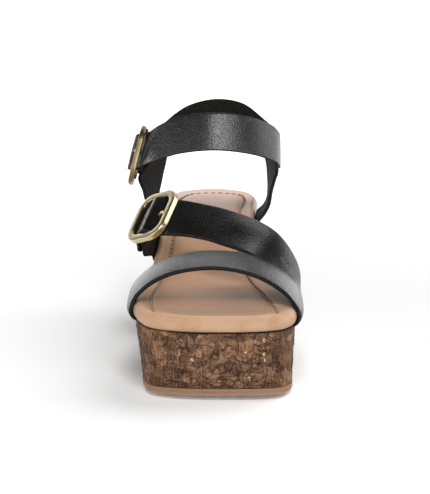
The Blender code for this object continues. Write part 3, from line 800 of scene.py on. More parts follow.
@dataclass
class Last:
    """Plan and heights of the sole."""

    # Plan of the rolled edge, from the toe along the inner side: x, y and the inset of the sole's foot.
    outline: tuple = (
        *((6.0, -3.0, 4.4), (28.0, -0.7, 3.2), (38.5, 4.3, 2.4), (44.2, 13.6, 2.5)),
        *((46.4, 34.0, 3.0), (47.3, 62.0, 3.4), (42.5, 95.0, 3.4), (32.0, 128.0, 3.0)),
        *((26.0, 158.0, 3.0), (27.0, 188.0, 3.0), (29.0, 214.0, 3.2), (21.5, 240.0, 3.4)),
        *((-1.5, 251.0, 3.6), (-24.5, 240.0, 3.4), (-32.0, 214.0, 3.2), (-33.0, 186.0, 3.0)),
        *((-34.3, 155.0, 3.0), (-36.3, 126.0, 3.4), (-40.5, 95.0, 4.4), (-45.4, 66.0, 5.6)),
        *((-46.0, 46.0, 5.8), (-44.4, 26.0, 4.8), (-36.5, 7.6, 3.2), (-19.0, -0.9, 4.0)),
    )
    # Lengths y and the height of the footbed's top there.
    heights: tuple = (
        *((-3.0, 47.7), (28.0, 47.7), (78.0, 47.9), (104.0, 51.4), (130.0, 58.8)),
        *((156.0, 66.6), (182.0, 71.9), (208.0, 73.7), (251.0, 73.9)),
    )
    heel_row: int = 12
    outline_steps: int = 40
    height_steps: int = 20
    roll_wide: float = 3.6
    roll_high: float = 4.5
    outsole_thick: float = 4.3
    toe_spring: float = 2.6
    toe_spring_run: float = 46.0
    toe_spring_power: float = 1.7
    arch_lift: float = 1.6
    arch: tuple = (98.0, 176.0)
    tuck_thick: float = 1.2
    tuck_long: float = 9.0
    roll_angles: tuple = (-90, -70, -50, -30, -12, 0)

    def __post_init__(self) -> None:
        """Works out the fine outline of each side and the fine line of heights."""
        rows = np.array(self.outline)
        fine = spline(rows, [self.outline_steps] * len(rows), closed=True)
        heel = self.outline_steps * self.heel_row
        self.inner_half = fine[: heel + 1]
        self.outer_half = np.vstack([fine[heel:], fine[:1]])
        tops = np.array(self.heights)
        self.fine_top = spline(tops, [self.height_steps] * (len(tops) - 1))

    def top_at(self, y: np.ndarray) -> np.ndarray:
        """Height of the footbed at lengths y."""
        return np.interp(y, self.fine_top[:, 0], self.fine_top[:, 1])

    def floor_at(self, y: np.ndarray) -> np.ndarray:
        """Height of the outsole's underside: toe spring, then a shallow arch.

        Args:
            y: Lengths.

        Returns:
            The heights: a power of the way left to the toe, and the square of a sine over the arch.
        """
        run = self.toe_spring_run
        spring = self.toe_spring * np.clip((run - y) / run, 0, 1) ** self.toe_spring_power
        s = np.clip((y - self.arch[0]) / (self.arch[1] - self.arch[0]), 0, 1)
        return spring + self.arch_lift * np.sin(math.pi * s) ** 2

    def plan(self, half: int) -> tuple[np.ndarray, np.ndarray, np.ndarray]:
        """Plan of the rolled edge, evenly spaced from toe tip to heel on each side.

        Args:
            half: Steps on each side.

        Returns:
            Points, outward normals and foot insets of the closed loop.
        """
        loop = np.vstack([even(self.inner_half, half + 1)[:-1], even(self.outer_half, half + 1)[:-1]])
        along = np.roll(loop, -1, axis=0) - np.roll(loop, 1, axis=0)
        return loop[:, :2], unit(np.stack([along[:, 1], -along[:, 0]], axis=1)), loop[:, 2]

    def edge_at(self, y: np.ndarray, side: Side) -> tuple[np.ndarray, np.ndarray]:
        """Points of the rolled edge at lengths y on one side, with their outward normals.

        Args:
            y: Lengths.
            side: Side of the shoe.

        Returns:
            The points and the normals.
        """
        half = self.inner_half if side is Side.INNER else self.outer_half[::-1]
        slope = np.gradient(half[:, :2], axis=0)
        sign = 1.0 if side is Side.INNER else -1.0
        normal = unit(np.stack([slope[:, 1], -slope[:, 0]], axis=1)) * sign
        x = np.interp(y, half[:, 1], half[:, 0])
        n = np.stack([np.interp(y, half[:, 1], normal[:, k]) for k in (0, 1)], axis=1)
        return np.stack([x, y], axis=1), unit(n)

    def strap_foot(
        self, span: tuple[float, float], side: Side, thick: float, columns: int, hug: tuple = ()
    ) -> tuple[list[np.ndarray], list[float]]:
        """Rows of a strap's end: tucked under the footbed, then round its rolled edge.

        Args:
            span: Lengths between which the strap meets the sole.
            side: Side of the shoe.
            thick: Thickness of the strap where it is free.
            columns: Points across the strap.
            hug: Further angles to which the strap follows the roll.

        Returns:
            The rows and the strap's thickness at each.
        """
        xy, n = self.edge_at(np.linspace(*span, columns), side)
        stops = [(-90, self.tuck_long), (-90, self.tuck_long / 2)]
        stops += [(a, 0.0) for a in (*self.roll_angles, *hug)]
        rows, thicks = [], []
        for angle, inset in stops:
            t = self.tuck_thick + (thick - self.tuck_thick) * min(1.0, 1 + angle / 90.0)
            c, s = math.cos(math.radians(angle)), math.sin(math.radians(angle))
            out = (self.roll_wide + GAP + t) * c - self.roll_wide - inset
            at = xy + n * out
            z = self.top_at(at[:, 1]) - self.roll_high + (self.roll_high + GAP + t) * s
            rows.append(np.column_stack([at, z]))
            thicks.append(t)
        return rows, thicks


@dataclass
class Outsole:
    """Thin outsole with a rounded lower edge."""

    last: Last
    half: int = 260
    edge_round: float = 2.4
    top_round: float = 0.7
    proud: float = 0.3
    round_steps: int = 9
    lid_steps: int = 24

    def build(self, finish: bpy.types.Material) -> bpy.types.Object:
        """Rings of the plan: a quarter round below, an upright edge, a small quarter round above.

        Args:
            finish: Rubber.

        Returns:
            The outsole.
        """
        xy, n, foot = self.last.plan(self.half)
        a = np.radians(np.linspace(0, 90, self.round_steps))
        r, q, high = self.edge_round, self.top_round, self.last.outsole_thick
        inset = np.concatenate([r * (1 - np.sin(a)), q * (1 - np.cos(a))]) - self.proud
        rise = np.concatenate([r * (1 - np.cos(a)), high - q * (1 - np.sin(a))])
        at = xy[:, None] - n[:, None] * (inset[None, :] + foot[:, None])[..., None]
        z = self.last.floor_at(at[..., 1]) + rise
        tube = np.concatenate([at, z[..., None]], axis=2).transpose(1, 0, 2)
        made = Surface()
        # Painted bounce light from the floor, strongest at the bottom of the lower round.
        made.grid(tube[:, ::-1], close_v=True, worn=smoothstep(1 - rise / r)[:, None])
        lid(made, tube[0], self.lid_steps, True)
        lid(made, tube[-1], self.lid_steps, False)
        return settle(made.object("outsole_edge", finish, weld=True), Slot.RUBBER, "outsole")


@dataclass
class CorkWedge:
    """Wedge wrapped in pressed cork: chips of many sizes, set at slightly different levels."""

    last: Last
    half: int = 500
    rows: int = 80
    lid_steps: int = 16
    top_inset: float = 1.3
    chip: float = 5.4
    stretch: float = 1.25
    crumbled: float = 0.42
    ripple_long: float = 5.0
    level: float = 0.14
    crevice: tuple = (0.36, 0.5)  # depth, width
    tone: tuple = (0.5, 0.22, 0.26, 0.85)  # mean, spread, least, most
    fleck_count: int = 30
    fleck_wide: tuple = (0.45, 0.85)
    fleck_tall: tuple = (0.6, 1.6)
    fleck_high: tuple = (9, 58)
    fleck_free: float = 60
    # Places x and heights of the flecks that show in front.
    front_flecks: tuple = (
        *((26.0, 34.4), (26.5, 22.9), (18.6, 13.0), (-18.6, 26.5)),
        *((-11.9, 23.4), (16.5, 28.0), (26.2, 26.4), (36.0, 10.0)),
    )
    front_end: float = 30.0
    seed: int = 11

    def __post_init__(self) -> None:
        """Works out the plain wall, its outward directions and the run along it."""
        xy, n, foot = self.last.plan(self.half)
        low, high = xy - n * foot[:, None], xy - n * self.top_inset
        z0 = self.last.floor_at(low[:, 1]) + self.last.outsole_thick + GAP
        z1 = self.last.top_at(high[:, 1]) - 2 * self.last.roll_high - GAP
        v = np.linspace(0, 1, self.rows)[:, None, None]
        self.wall = np.column_stack([low, z0]) * (1 - v) + np.column_stack([high, z1]) * v
        self.out = np.column_stack([n, np.zeros(len(n))])
        self.run = run_along(xy)
        self.around = float(self.run[-1] + self.run[1])

    def ripple(
        self, s: np.ndarray, z: np.ndarray, tall: float, seed: int, finer: int = 1, shift: int = 0
    ) -> np.ndarray:
        """Noise over the wall that meets itself after the whole way round.

        Args:
            s: Run along the wall.
            z: Height.
            tall: Height of its cells.
            seed: Its seed.
            finer: How many times shorter its cells are than the plain ones.
            shift: Cells by which it is moved along.

        Returns:
            The noise at each point.
        """
        cells = round(self.around / self.ripple_long) * finer
        return lattice(s * cells / self.around + shift, z / tall, seed, cells)

    def chips(self, s: np.ndarray, z: np.ndarray) -> tuple[np.ndarray, np.ndarray]:
        """Nearest and next nearest of many scattered chips around each point.

        Args:
            s: Run along the wall; the pattern repeats after the whole way round.
            z: Height.

        Returns:
            The chip's number, and how far the point lies from its border.
        """
        rng = np.random.default_rng(self.seed)
        high = float(z.max())
        n = int(self.around * high / self.chip**2)
        at_s, at_z = rng.uniform(0, self.around, n), rng.uniform(0, high, n)
        first, gap = np.empty(len(s), int), np.empty(len(s))
        for part in chunks(len(s)):
            ds = s[part, None] - at_s
            ds -= self.around * np.round(ds / self.around)
            d = np.hypot(ds / self.stretch, z[part, None] - at_z)
            two = np.partition(d, 1, axis=1)[:, :2]
            first[part] = np.argmin(d, axis=1)
            gap[part] = two[:, 1] - two[:, 0]
        return first, gap

    def flecks(self, s: np.ndarray, z: np.ndarray) -> np.ndarray:
        """Gold flecks: small upright bells, some at given places in front and some scattered over the wall.

        Args:
            s: Run along the wall.
            z: Height.

        Returns:
            1 in the middle of a fleck, fading to 0 at its rim.
        """
        rng = np.random.default_rng(self.seed + 2)
        front = np.where(self.wall[0, :, 1] < self.front_end, self.wall[0, :, 0], FAR)
        spots = [(self.run[np.argmin(np.abs(front - x))], h) for x, h in self.front_flecks]
        at_s = rng.uniform(self.fleck_free, self.around - self.fleck_free, self.fleck_count)
        spots += zip(at_s, rng.uniform(*self.fleck_high, self.fleck_count))
        wide, tall = rng.uniform(*self.fleck_wide, len(spots)), rng.uniform(*self.fleck_tall, len(spots))
        found = np.zeros(len(s))
        for (at, high), w, h in zip(spots, wide, tall):
            ds = s - at - self.around * np.round((s - at) / self.around)
            found = np.maximum(found, bell(ds, w) * bell(z - high, h))
        return smoothstep((found - 0.2) / 0.5)

    def build(self, finish: bpy.types.Material) -> bpy.types.Object:
        """Wall pushed in at the crevices and by each chip's level, with lids above and below.

        Args:
            finish: Cork.

        Returns:
            The wedge.
        """
        shape = self.wall.shape[:2]
        s, z = np.broadcast_to(self.run, shape).ravel(), self.wall[..., 2].ravel()
        bent_s = s + 0.7 * self.ripple(s, z, 5.0, 1) + 0.3 * self.ripple(s, z, 1.6, 2, 3)
        bent_z = z + 0.7 * self.ripple(s, z, 5.0, 3) + 0.3 * self.ripple(s, z, 1.6, 4, 3)
        chip, gap = self.chips(bent_s, bent_z)
        rng = np.random.default_rng(self.seed + 1)
        count = int(chip.max()) + 1
        tone = np.clip(rng.normal(*self.tone[:2], count), *self.tone[2:])[chip]
        crumbled = (rng.uniform(0, 1, count) < self.crumbled)[chip].astype(float)
        deep, wide = self.crevice
        crevice = bell(gap, wide) * smoothstep(self.ripple(s, z, 4.0, 5, shift=7) * 1.3 + 0.45)
        level = rng.uniform(-1, 1, count)[chip] * self.level * smoothstep(gap / 1.2)
        rough = 0.07 * self.ripple(s, z, 1.4, 6, 3) + 0.02 * np.sin(2 * math.pi * s / self.around)
        moved = self.wall + self.out * (level + rough - deep * crevice).reshape(shape)[..., None]
        moved[[0, -1]] = self.wall[[0, -1]]
        # Corners of the wedge: the fibres turn there, and fewer dark crevices and cracks paint them lighter,
        # as painted light.
        corner = np.abs(self.out[:, 0]) * (np.abs(self.out[:, 1]) > 0.3)
        wrap = smoothstep((np.broadcast_to(corner, shape).ravel() - 0.30) / 0.3)
        values = {
            "tone": tone,
            "wrap": wrap,
            # Fewer dark crevices and crumbs at the corners: painted light.
            "crevice": crevice * (1 - 0.5 * wrap),
            "crumbled": crumbled * (1 - 0.7 * wrap),
            "fleck": self.flecks(s, z),
        }
        made = Surface()
        made.grid(moved[:, ::-1], close_v=True, **{k: a.reshape(shape)[:, ::-1] for k, a in values.items()})
        lid(made, moved[0], self.lid_steps, True)
        lid(made, moved[-1], self.lid_steps, False)
        return settle(made.object("cork_wrap", finish, weld=True), Slot.CORK, "cork_wedge")


@dataclass
class Footbed:
    """Padded footbed: a rolled edge, a sewn trough and a soft crown inside it."""

    last: Last
    half: int = 330
    across: int = 116
    groove: float = 0.75
    groove_wide: float = 0.85
    hole: tuple = (0.8, 0.9)  # width across the sewn line and along it
    puff: tuple = (0.55, 5.0)  # height, run from the sewn line
    dish: tuple = (1.0, 4.0, 22.0)  # depth, distance from the sewn line at which it starts, run
    lip_wide: float = 3.0
    lip_toe: tuple = (-1.0, 6.0)  # length at which the lip starts to end, run
    toe_run: float = 5.0
    pitch: float = 5.0
    stitch: float = 3.5
    thread: float = 0.66
    stitch_steps: tuple = (9, 8)  # along, round
    valley: tuple = (1.2, 5.2, 3.0)  # depth, length at which it lies, width
    # Where the painted shade behind the lip lies.
    toe_shade_mark: tuple = (10.5, 6.0)  # length at which it lies, width
    # Where the painted sheen comes in towards the heel.
    heel_sheen_ramp: tuple = (120.0, 100.0)  # length at which it starts, run
    edge_steps: int = 19
    base_steps: int = 12
    # Sewn line: x and y from the toe along the inner side, round the heel and back.
    seam: tuple = (
        *((34.2, 6.6), (33.9, 14.0), (32.6, 28.0), (27.6, 52.0), (20.6, 84.0), (15.2, 125.0), (14.6, 155.0)),
        *((17.0, 180.0), (20.4, 204.0), (17.4, 222.0), (2.0, 229.5), (-14.4, 226.0), (-22.4, 210.0)),
        *((-24.4, 190.0), (-25.0, 160.0), (-26.2, 132.0), (-28.4, 108.0), (-32.2, 76.0), (-35.2, 48.0)),
        *((-34.6, 22.0), (-33.0, 9.6)),
    )
    seam_heel: int = 10
    seam_steps: int = 24
    seam_points: int = 1400

    def __post_init__(self) -> None:
        """Works out the fine sewn line and the number of its stitches."""
        rows = np.array(self.seam)
        self.fine_seam = spline(rows, [self.seam_steps] * (len(rows) - 1))
        self.split = self.seam_steps * self.seam_heel
        self.stitches = int(run_along(self.fine_seam)[-1] / self.pitch)

    def inside(self, x: np.ndarray, y: np.ndarray) -> np.ndarray:
        """Tells which points lie within the sewn line.

        Args:
            x: Places across.
            y: Lengths.

        Returns:
            1 within the line and 0 outside it.
        """
        inner, outer = self.fine_seam[: self.split + 1], self.fine_seam[self.split :][::-1]
        right = np.interp(y, inner[:, 1], inner[:, 0], right=-FAR)
        left = np.interp(y, outer[:, 1], outer[:, 0], right=FAR)
        return ((x < right) & (x > left)).astype(float)

    def relief(self, x: np.ndarray, y: np.ndarray) -> tuple[np.ndarray, np.ndarray, np.ndarray]:
        """Rise of the top over its plain height.

        Args:
            x: Places across.
            y: Lengths.

        Returns:
            The rise: a trough along the sewn line, a crown and a dish inside it. Then how near the trough
            and its holes are.
        """
        flat = np.column_stack([x.ravel(), y.ravel()]).astype(np.float32)
        line = even(self.fine_seam, self.seam_points).astype(np.float32)
        d, near = np.empty(len(flat)), np.empty(len(flat))
        for part in chunks(len(flat)):
            square = ((flat[part, None] - line) ** 2).sum(axis=2)
            near[part] = np.argmin(square, axis=1) / (len(line) - 1.0)
            d[part] = np.sqrt(square.min(axis=1))
        d, turn = d.reshape(x.shape), near.reshape(x.shape) * self.stitches
        trough = bell(d, self.groove_wide)
        hole = bell(d, self.hole[0]) * bell((turn - np.round(turn)) * self.pitch, self.hole[1])
        (high, run), (deep, start, length) = self.puff, self.dish
        crown = self.inside(x, y) * high * smoothstep(d / run)
        hollow = self.inside(x, y) * deep * smoothstep((d - start) / length)
        return crown - hollow - self.groove * trough, trough, hole

    def heel_sheen_share(self, y: np.ndarray) -> np.ndarray:
        """How far the painted sheen of the heel has come in at lengths y."""
        return smoothstep((y - self.heel_sheen_ramp[0]) / self.heel_sheen_ramp[1])

    def build(self, finish: bpy.types.Material) -> bpy.types.Object:
        """A half round edge carried round the plan, a top of rungs with its relief, and a plain base.

        Args:
            finish: Leather.

        Returns:
            The footbed.
        """
        last = self.last
        xy, n, _ = last.plan(self.half)
        a = np.radians(np.linspace(-90, 90, self.edge_steps))
        at = xy[:, None] - n[:, None] * (last.roll_wide * (1 - np.cos(a)))[None, :, None]
        z = last.top_at(at[..., 1]) - last.roll_high + last.roll_high * np.sin(a)
        tube = np.concatenate([at, z[..., None]], axis=2).transpose(1, 0, 2)
        edge = tube[:, ::-1]
        made = Surface()
        made.grid(edge, close_v=True, lip=np.ones(edge.shape[:2]), heel=self.heel_sheen_share(edge[..., 1]))
        lid(made, tube[0], self.base_steps, True)
        top = rungs(tube[-1], self.across)
        x, y = top[..., 0], top[..., 1]
        rise, trough, hole = self.relief(x, y)
        wide = np.linalg.norm(top[:, 0] - top[:, -1], axis=1)[:, None]
        t = np.linspace(0, 1, self.across + 1)[None, :]
        border = np.minimum(t, 1 - t) * wide
        ahead = y - last.outline[0][1]
        keep = smoothstep(border / self.lip_wide) * smoothstep((ahead - last.roll_wide) / self.toe_run)
        deep, valley_y, valley_wide = self.valley
        rise = rise - deep * bell(y - valley_y, valley_wide) * smoothstep(border / 9.0)
        top[..., 2] = last.top_at(y) + rise * keep
        start, run = self.lip_toe
        marks = {
            "lip": 1.0 - smoothstep(border / self.lip_wide) * smoothstep((y - start) / run),
            # Painted sheen towards the heel.
            "heel": self.heel_sheen_share(y),
            # Painted shade and grey sheen behind the lip, under the toe band.
            "toe": bell(y - self.toe_shade_mark[0], self.toe_shade_mark[1]) * smoothstep((border - 2.0) / 8.0),
            # Painted shade in the sewn trough and its holes.
            "seam": np.maximum(trough * 0.35, hole) * keep,
        }
        made.grid(top, **marks)
        pad = made.object("padded_footbed", finish, weld=True)
        return settle(pad, Slot.FOOTBED, "footbed")

    def sew(self, finish: bpy.types.Material) -> bpy.types.Object:
        """Stitches: thread swept along short arcs that dip by a fourth power and thin out at both ends.

        Args:
            finish: Thread.

        Returns:
            The stitches.
        """
        count, fine = self.stitches, 10
        line = even(self.fine_seam, count * fine + 1)
        before, middle, after = (line[fine // 2 + k :: fine][:count] for k in (-1, 0, 1))
        slope = unit(after - before)
        u, w = np.linspace(-1, 1, self.stitch_steps[0]), circle(self.stitch_steps[1])
        along = middle[:, None] + slope[:, None] * (u[None, :, None] * self.stitch / 2)
        base = self.last.top_at(along[..., 1]) - self.groove + self.thread * (1.25 - 1.9 * u**4)
        path = np.concatenate([along, base[..., None]], axis=2)
        thin = self.thread * np.sqrt(np.clip(1 - 0.94 * u**6, 0.02, 1))
        side = np.stack([-slope[:, 1], slope[:, 0], np.zeros(count)], axis=1)[:, None, None]
        ring = side * np.cos(w)[:, None] + np.array([0, 0, 1.0]) * np.sin(w)[:, None]
        tubes = path[:, :, None] + ring * thin[None, :, None, None]
        # Twisted strands, drawn as bumps and as a painted highlight.
        ply = np.broadcast_to(0.5 + 0.5 * np.sin(u[:, None] * 9 + w[None, :]), tubes.shape[1:3])
        made = Surface()
        for tube in tubes:
            made.grid(tube[:, ::-1], close_v=True, caps=True, ply=ply)
        return settle(made.object("footbed_stitching", finish), Slot.FOOTBED)


# Straps


@dataclass
class Crease:
    """A soft trough or ridge across a strap, between two places in millimetres along and across it."""

    start: tuple[float, float]
    end: tuple[float, float]
    depth: float
    wide: float

    def drop(self, along: np.ndarray, over: np.ndarray) -> np.ndarray:
        """How far it lowers each point: a bell over the distance to its line, eased at both ends.

        Args:
            along: Run along the strap.
            over: Place across it.

        Returns:
            The drop of each point.
        """
        a, b = np.array(self.start), np.array(self.end)
        line = b - a
        long = float(np.linalg.norm(line))
        t = ((along - a[0]) * line[0] + (over - a[1]) * line[1]) / long**2
        off = ((along - a[0]) * line[1] - (over - a[1]) * line[0]) / long
        ends = smoothstep((t + 0.15) / 0.3) * smoothstep((1.15 - t) / 0.3)
        return self.depth * bell(off, self.wide) * ends


@dataclass
class Strap:
    """A flat leather strap with rounded, painted edges, carried through rows of points."""

    name: str
    rows: list
    thicks: list
    step: float = 1.1
    faces: int = 26
    corner: int = 4
    edge_share: float = 0.030
    crown: float = 0.25
    tip: float = 0.0
    tip_least: float = 0.22
    creases: tuple = ()
    holes: tuple = ()
    hole_wide: tuple = (2.2, 1.2)  # reach, soft rim
    hole_deep: float = 0.5

    def lay(self) -> tuple[np.ndarray, np.ndarray]:
        """Smooth outer face through the rows, with its thickness along it.

        Returns:
            Grid (along, across, 3) and thicknesses.
        """
        data = [np.column_stack([r, np.full(len(r), t)]).ravel() for r, t in zip(self.rows, self.thicks)]
        gaps = [float(np.linalg.norm(b - a, axis=1).mean()) for a, b in zip(self.rows, self.rows[1:])]
        counts = [max(1, round(g / self.step)) for g in gaps]
        grid = spline(np.array(data), counts).reshape(-1, len(self.rows[0]), 4)
        return self.narrowed(grid[..., :3]), grid[:, 0, 3]

    def narrowed(self, grid: np.ndarray) -> np.ndarray:
        """Draws a strap's last stretch in to a round tip.

        Args:
            grid: Outer face (along, across, 3).

        Returns:
            The grid, its width scaled as in a half circle over the length of the tip.
        """
        if self.tip <= 0:
            return grid
        middle = grid.mean(axis=1)
        left = run_along(middle[::-1])[::-1]
        share = np.clip(1 - left / self.tip, 0, 1)
        width = np.maximum(np.sqrt(1 - share**2), self.tip_least)
        return middle[:, None] + (grid - middle[:, None]) * width[:, None, None]

    def round_trip(self, near: np.ndarray, top: np.ndarray, far: np.ndarray, under: np.ndarray) -> np.ndarray:
        """Numbers once round the section, from the middle of its near edge over the outer face."""
        h = self.corner
        return np.concatenate([near[:h][::-1], top, far, under, near[h:][::-1]])

    def section(self) -> tuple[np.ndarray, np.ndarray, np.ndarray]:
        """Places round the strap's section: outer face, round edge, inner face, round edge.

        Returns:
            Share across, share of the depth, and how much of the edge each place is.
        """
        m, steps = self.edge_share, 2 * self.corner
        a = np.radians(90 - 180 * (np.arange(steps) + 1) / (steps + 1))
        flat, ones = np.linspace(m, 1 - m, self.faces), np.ones(self.faces)
        depth, swell = 0.5 - 0.5 * np.sin(a), np.cos(a)
        v = self.round_trip(m - m * swell, flat, 1 - m + m * swell, flat[::-1])
        d = self.round_trip(depth, 0 * ones, depth, ones)
        e = self.round_trip(swell, 0 * ones, swell, 0 * ones)
        return v, d, smoothstep(e * 1.5)

    def build(self, finish: tuple, *nodes: str) -> bpy.types.Object:
        """Section carried along the grid: each place lies its depth below the outer face.

        Args:
            finish: Leather of the outer face, paint of the edges and lining of the inner face.
            nodes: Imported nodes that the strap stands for.

        Returns:
            The strap.
        """
        grid, thick = self.lay()
        normal = grid_normals(grid)
        v, d, edge = self.section()
        at = v * (grid.shape[1] - 1)
        i = np.minimum(at.astype(int), grid.shape[1] - 2)
        f = (at - i)[None, :, None]
        face = grid[:, i] * (1 - f) + grid[:, i + 1] * f
        n = unit(normal[:, i] * (1 - f) + normal[:, i + 1] * f)
        wide = np.linalg.norm(grid[:, -1] - grid[:, 0], axis=1)
        along = run_along(grid.mean(axis=1))
        lift = self.crown * (1 - (2 * v - 1) ** 2)[None, :] - thick[:, None] * d[None, :]
        for crease in self.creases:
            lift = lift - crease.drop(along[:, None], v[None, :] * wide[:, None]) * (1 - d)[None, :]
        # Dimples of the punched holes; the attribute hole also carries their painted shade.
        hole = np.zeros(face.shape[:2])
        reach, rim = self.hole_wide
        for spot in self.holes:
            far = np.linalg.norm(face - spot, axis=2)
            hole = np.maximum(hole, smoothstep((reach - far) / rim) * (1 - d)[None, :])
        tube = face + n * (lift - self.hole_deep * hole)[..., None]
        shape = tube.shape[:2]
        made = Surface()
        made.grid(tube, close_v=True, caps=True, edge=np.broadcast_to(edge, shape), hole=hole)
        # Faces of the edge take the second material, those of the inner face the third.
        near = np.minimum(edge, np.roll(edge, -1))
        deep = np.minimum(d, np.roll(d, -1))
        kind = np.where(near > 0.35, 1, np.where(deep > 0.9, 2, 0))
        groups = np.concatenate([np.tile(kind, shape[0] - 1), np.ones(shape[1] - 2)])
        return settle(made.object(self.name, finish[0], others=finish[1:], groups=groups), Slot.STRAP, *nodes)


@dataclass
class Buckle:
    """A centre-bar buckle: its place and axes, its frame, its bar and its prong."""

    name: str
    at: tuple
    along_hint: tuple
    across_hint: tuple
    outward: tuple
    long: float = 35.4
    slide: float = 0.0
    age: float = 0.0
    wide: float = 33.0
    band: float = 4.4
    thick: float = 4.0
    lift: float = 0.5
    corner: float = 10.5
    bar: float = 1.0
    sink: float = 1.4
    prong: float = 1.35
    roll: float = 1.2
    square: float = 0.30
    section_steps: int = 32
    bar_steps: tuple = (7, 16)
    prong_steps: int = 12
    # Prong beyond its hook: places along and outward.
    prong_path: tuple = ((-2.0, 0.6), (-5.0, 0.3), (-7.2, 0.9), (-9.4, 1.7), (-11.2, 2.2), (-12.3, 2.4))
    fold_half: float = 11.0
    fold_angles: tuple = (40, 65, 90, 112, 135, 158, 180, 203, 226, 250, 270)
    # Leather beyond its fold round the bar: places along, outer face and thickness.
    fold_table: tuple = ((2.6, -3.3, 1.3), (6.5, -4.6, 1.7), (10.4, -4.8, 2.0), (13.8, -4.8, 2.0))

    def __post_init__(self) -> None:
        """Works out three axes at right angles: along the strap, across it and outward."""
        self.along = unit(np.array(self.along_hint))
        hint = np.array(self.across_hint)
        self.across = unit(hint - self.along * (hint @ self.along))
        out = np.cross(self.along, self.across)
        self.out = out if out @ np.array(self.outward) > 0 else -out

    def point(self, w: np.ndarray, n: np.ndarray, l: np.ndarray = 0.0) -> np.ndarray:
        """Points w along the strap, n outward and l across."""
        w, n, l = (np.asarray(x, float)[..., None] for x in (w, n, l))
        return np.array(self.at) + self.along * w + self.out * n + self.across * l

    def row(self, w: float, n: float, half: float, columns: int, flip: bool, rise: float = 0.0) -> np.ndarray:
        """A row across the strap at w, n, raised along the frame."""
        reach = np.linspace(-half, half, columns)
        return self.point(w, n, (reach[::-1] if flip else reach) + rise)

    def fold(self, columns: int, flip: bool) -> tuple[list[np.ndarray], list[float]]:
        """Leather folded round the bar, from the fold's end out along the strap.

        Args:
            columns: Points across.
            flip: Whether the rows run from the upper edge.

        Returns:
            Rows and thicknesses.
        """
        reach, turn = self.bar + GAP, np.radians(self.fold_angles)
        path = [(reach * math.cos(a), reach * math.sin(a) - self.sink, self.roll) for a in turn]
        path += self.fold_table
        rows = [self.row(w, n, self.fold_half, columns, flip) for w, n, _ in path]
        return rows, [t for _, _, t in path]

    def fold_end(self, grid: np.ndarray) -> int:
        """Number of the strap's row that lies nearest to the far end of its fold."""
        end = self.point(*self.fold_table[-1][:2])
        return int(np.argmin(np.linalg.norm(grid.mean(axis=1) - end, axis=1)))

    def rim(self, steps: int = 14) -> tuple[np.ndarray, np.ndarray]:
        """Middle line of the frame in its own plane: straight sides and round corners.

        Args:
            steps: Points in each corner.

        Returns:
            The points and their outward normals.
        """
        r = self.corner - self.band / 2
        half = np.array([self.wide - self.band, self.long - self.band]) / 2 - r
        quarter = np.radians(np.linspace(0, 90, steps))
        corners = np.array([(1, 1), (-1, 1), (-1, -1), (1, -1)]) * half
        turn = np.concatenate([quarter + k * math.pi / 2 for k in range(4)])
        normal = np.stack([np.cos(turn), np.sin(turn)], axis=1)
        return np.repeat(corners, steps, axis=0) + normal * r, normal

    def build(self, finish: bpy.types.Material, node: str) -> bpy.types.Object:
        """Frame: a squarish oval section carried round the rim. Bar: a rod across its middle.

        Args:
            finish: Brass.
            node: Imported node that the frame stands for.

        Returns:
            The frame.
        """
        line, normal = self.rim()
        a = circle(self.section_steps)
        x = np.sign(np.cos(a)) * np.abs(np.cos(a)) ** self.square * self.band / 2
        y = np.sign(np.sin(a)) * np.abs(np.sin(a)) ** self.square * self.thick / 2
        plane = line[:, None] + normal[:, None] * x[None, :, None]
        out = np.broadcast_to(y + self.lift, plane.shape[:2])
        ring = self.point(plane[..., 0], out, plane[..., 1] + self.slide)
        handed = float(np.cross(self.along, self.across) @ self.out)
        made = Surface()
        # Patina: a little on the face, most along the inner rim, and rubbed off the corners of the section.
        face, inner = (smoothstep((way - 0.5) / 0.4) for way in (np.sin(a), -np.cos(a)))
        # Then an even darkening over the whole frame.
        stain = 0.24 * face + 0.9 * inner + self.age
        rubbed = smoothstep((np.abs(np.sin(2 * a)) - 0.45) / 0.5)
        stain = np.broadcast_to(stain * (1 - 0.7 * rubbed), ring.shape[:2])
        turned = slice(None) if handed > 0 else slice(None, None, -1)
        made.grid(ring[:, turned], close_u=True, close_v=True, stain=stain[:, turned])
        b = circle(self.bar_steps[1])
        reach = np.linspace(-1, 1, self.bar_steps[0])[:, None] * (self.long / 2 - self.band / 2)
        w, n, reach = np.broadcast_arrays(self.bar * np.cos(b), self.bar * np.sin(b) - self.sink, reach)
        rod = self.point(w, n, reach)
        # The bar gets more than full patina: painted shade where it lies under the strap.
        made.grid(rod[:, ::-1] if handed > 0 else rod, close_v=True, caps=True, stain=np.full(w.shape, 1.1))
        return settle(made.object(self.name + "_frame", finish), Slot.BRASS, node)

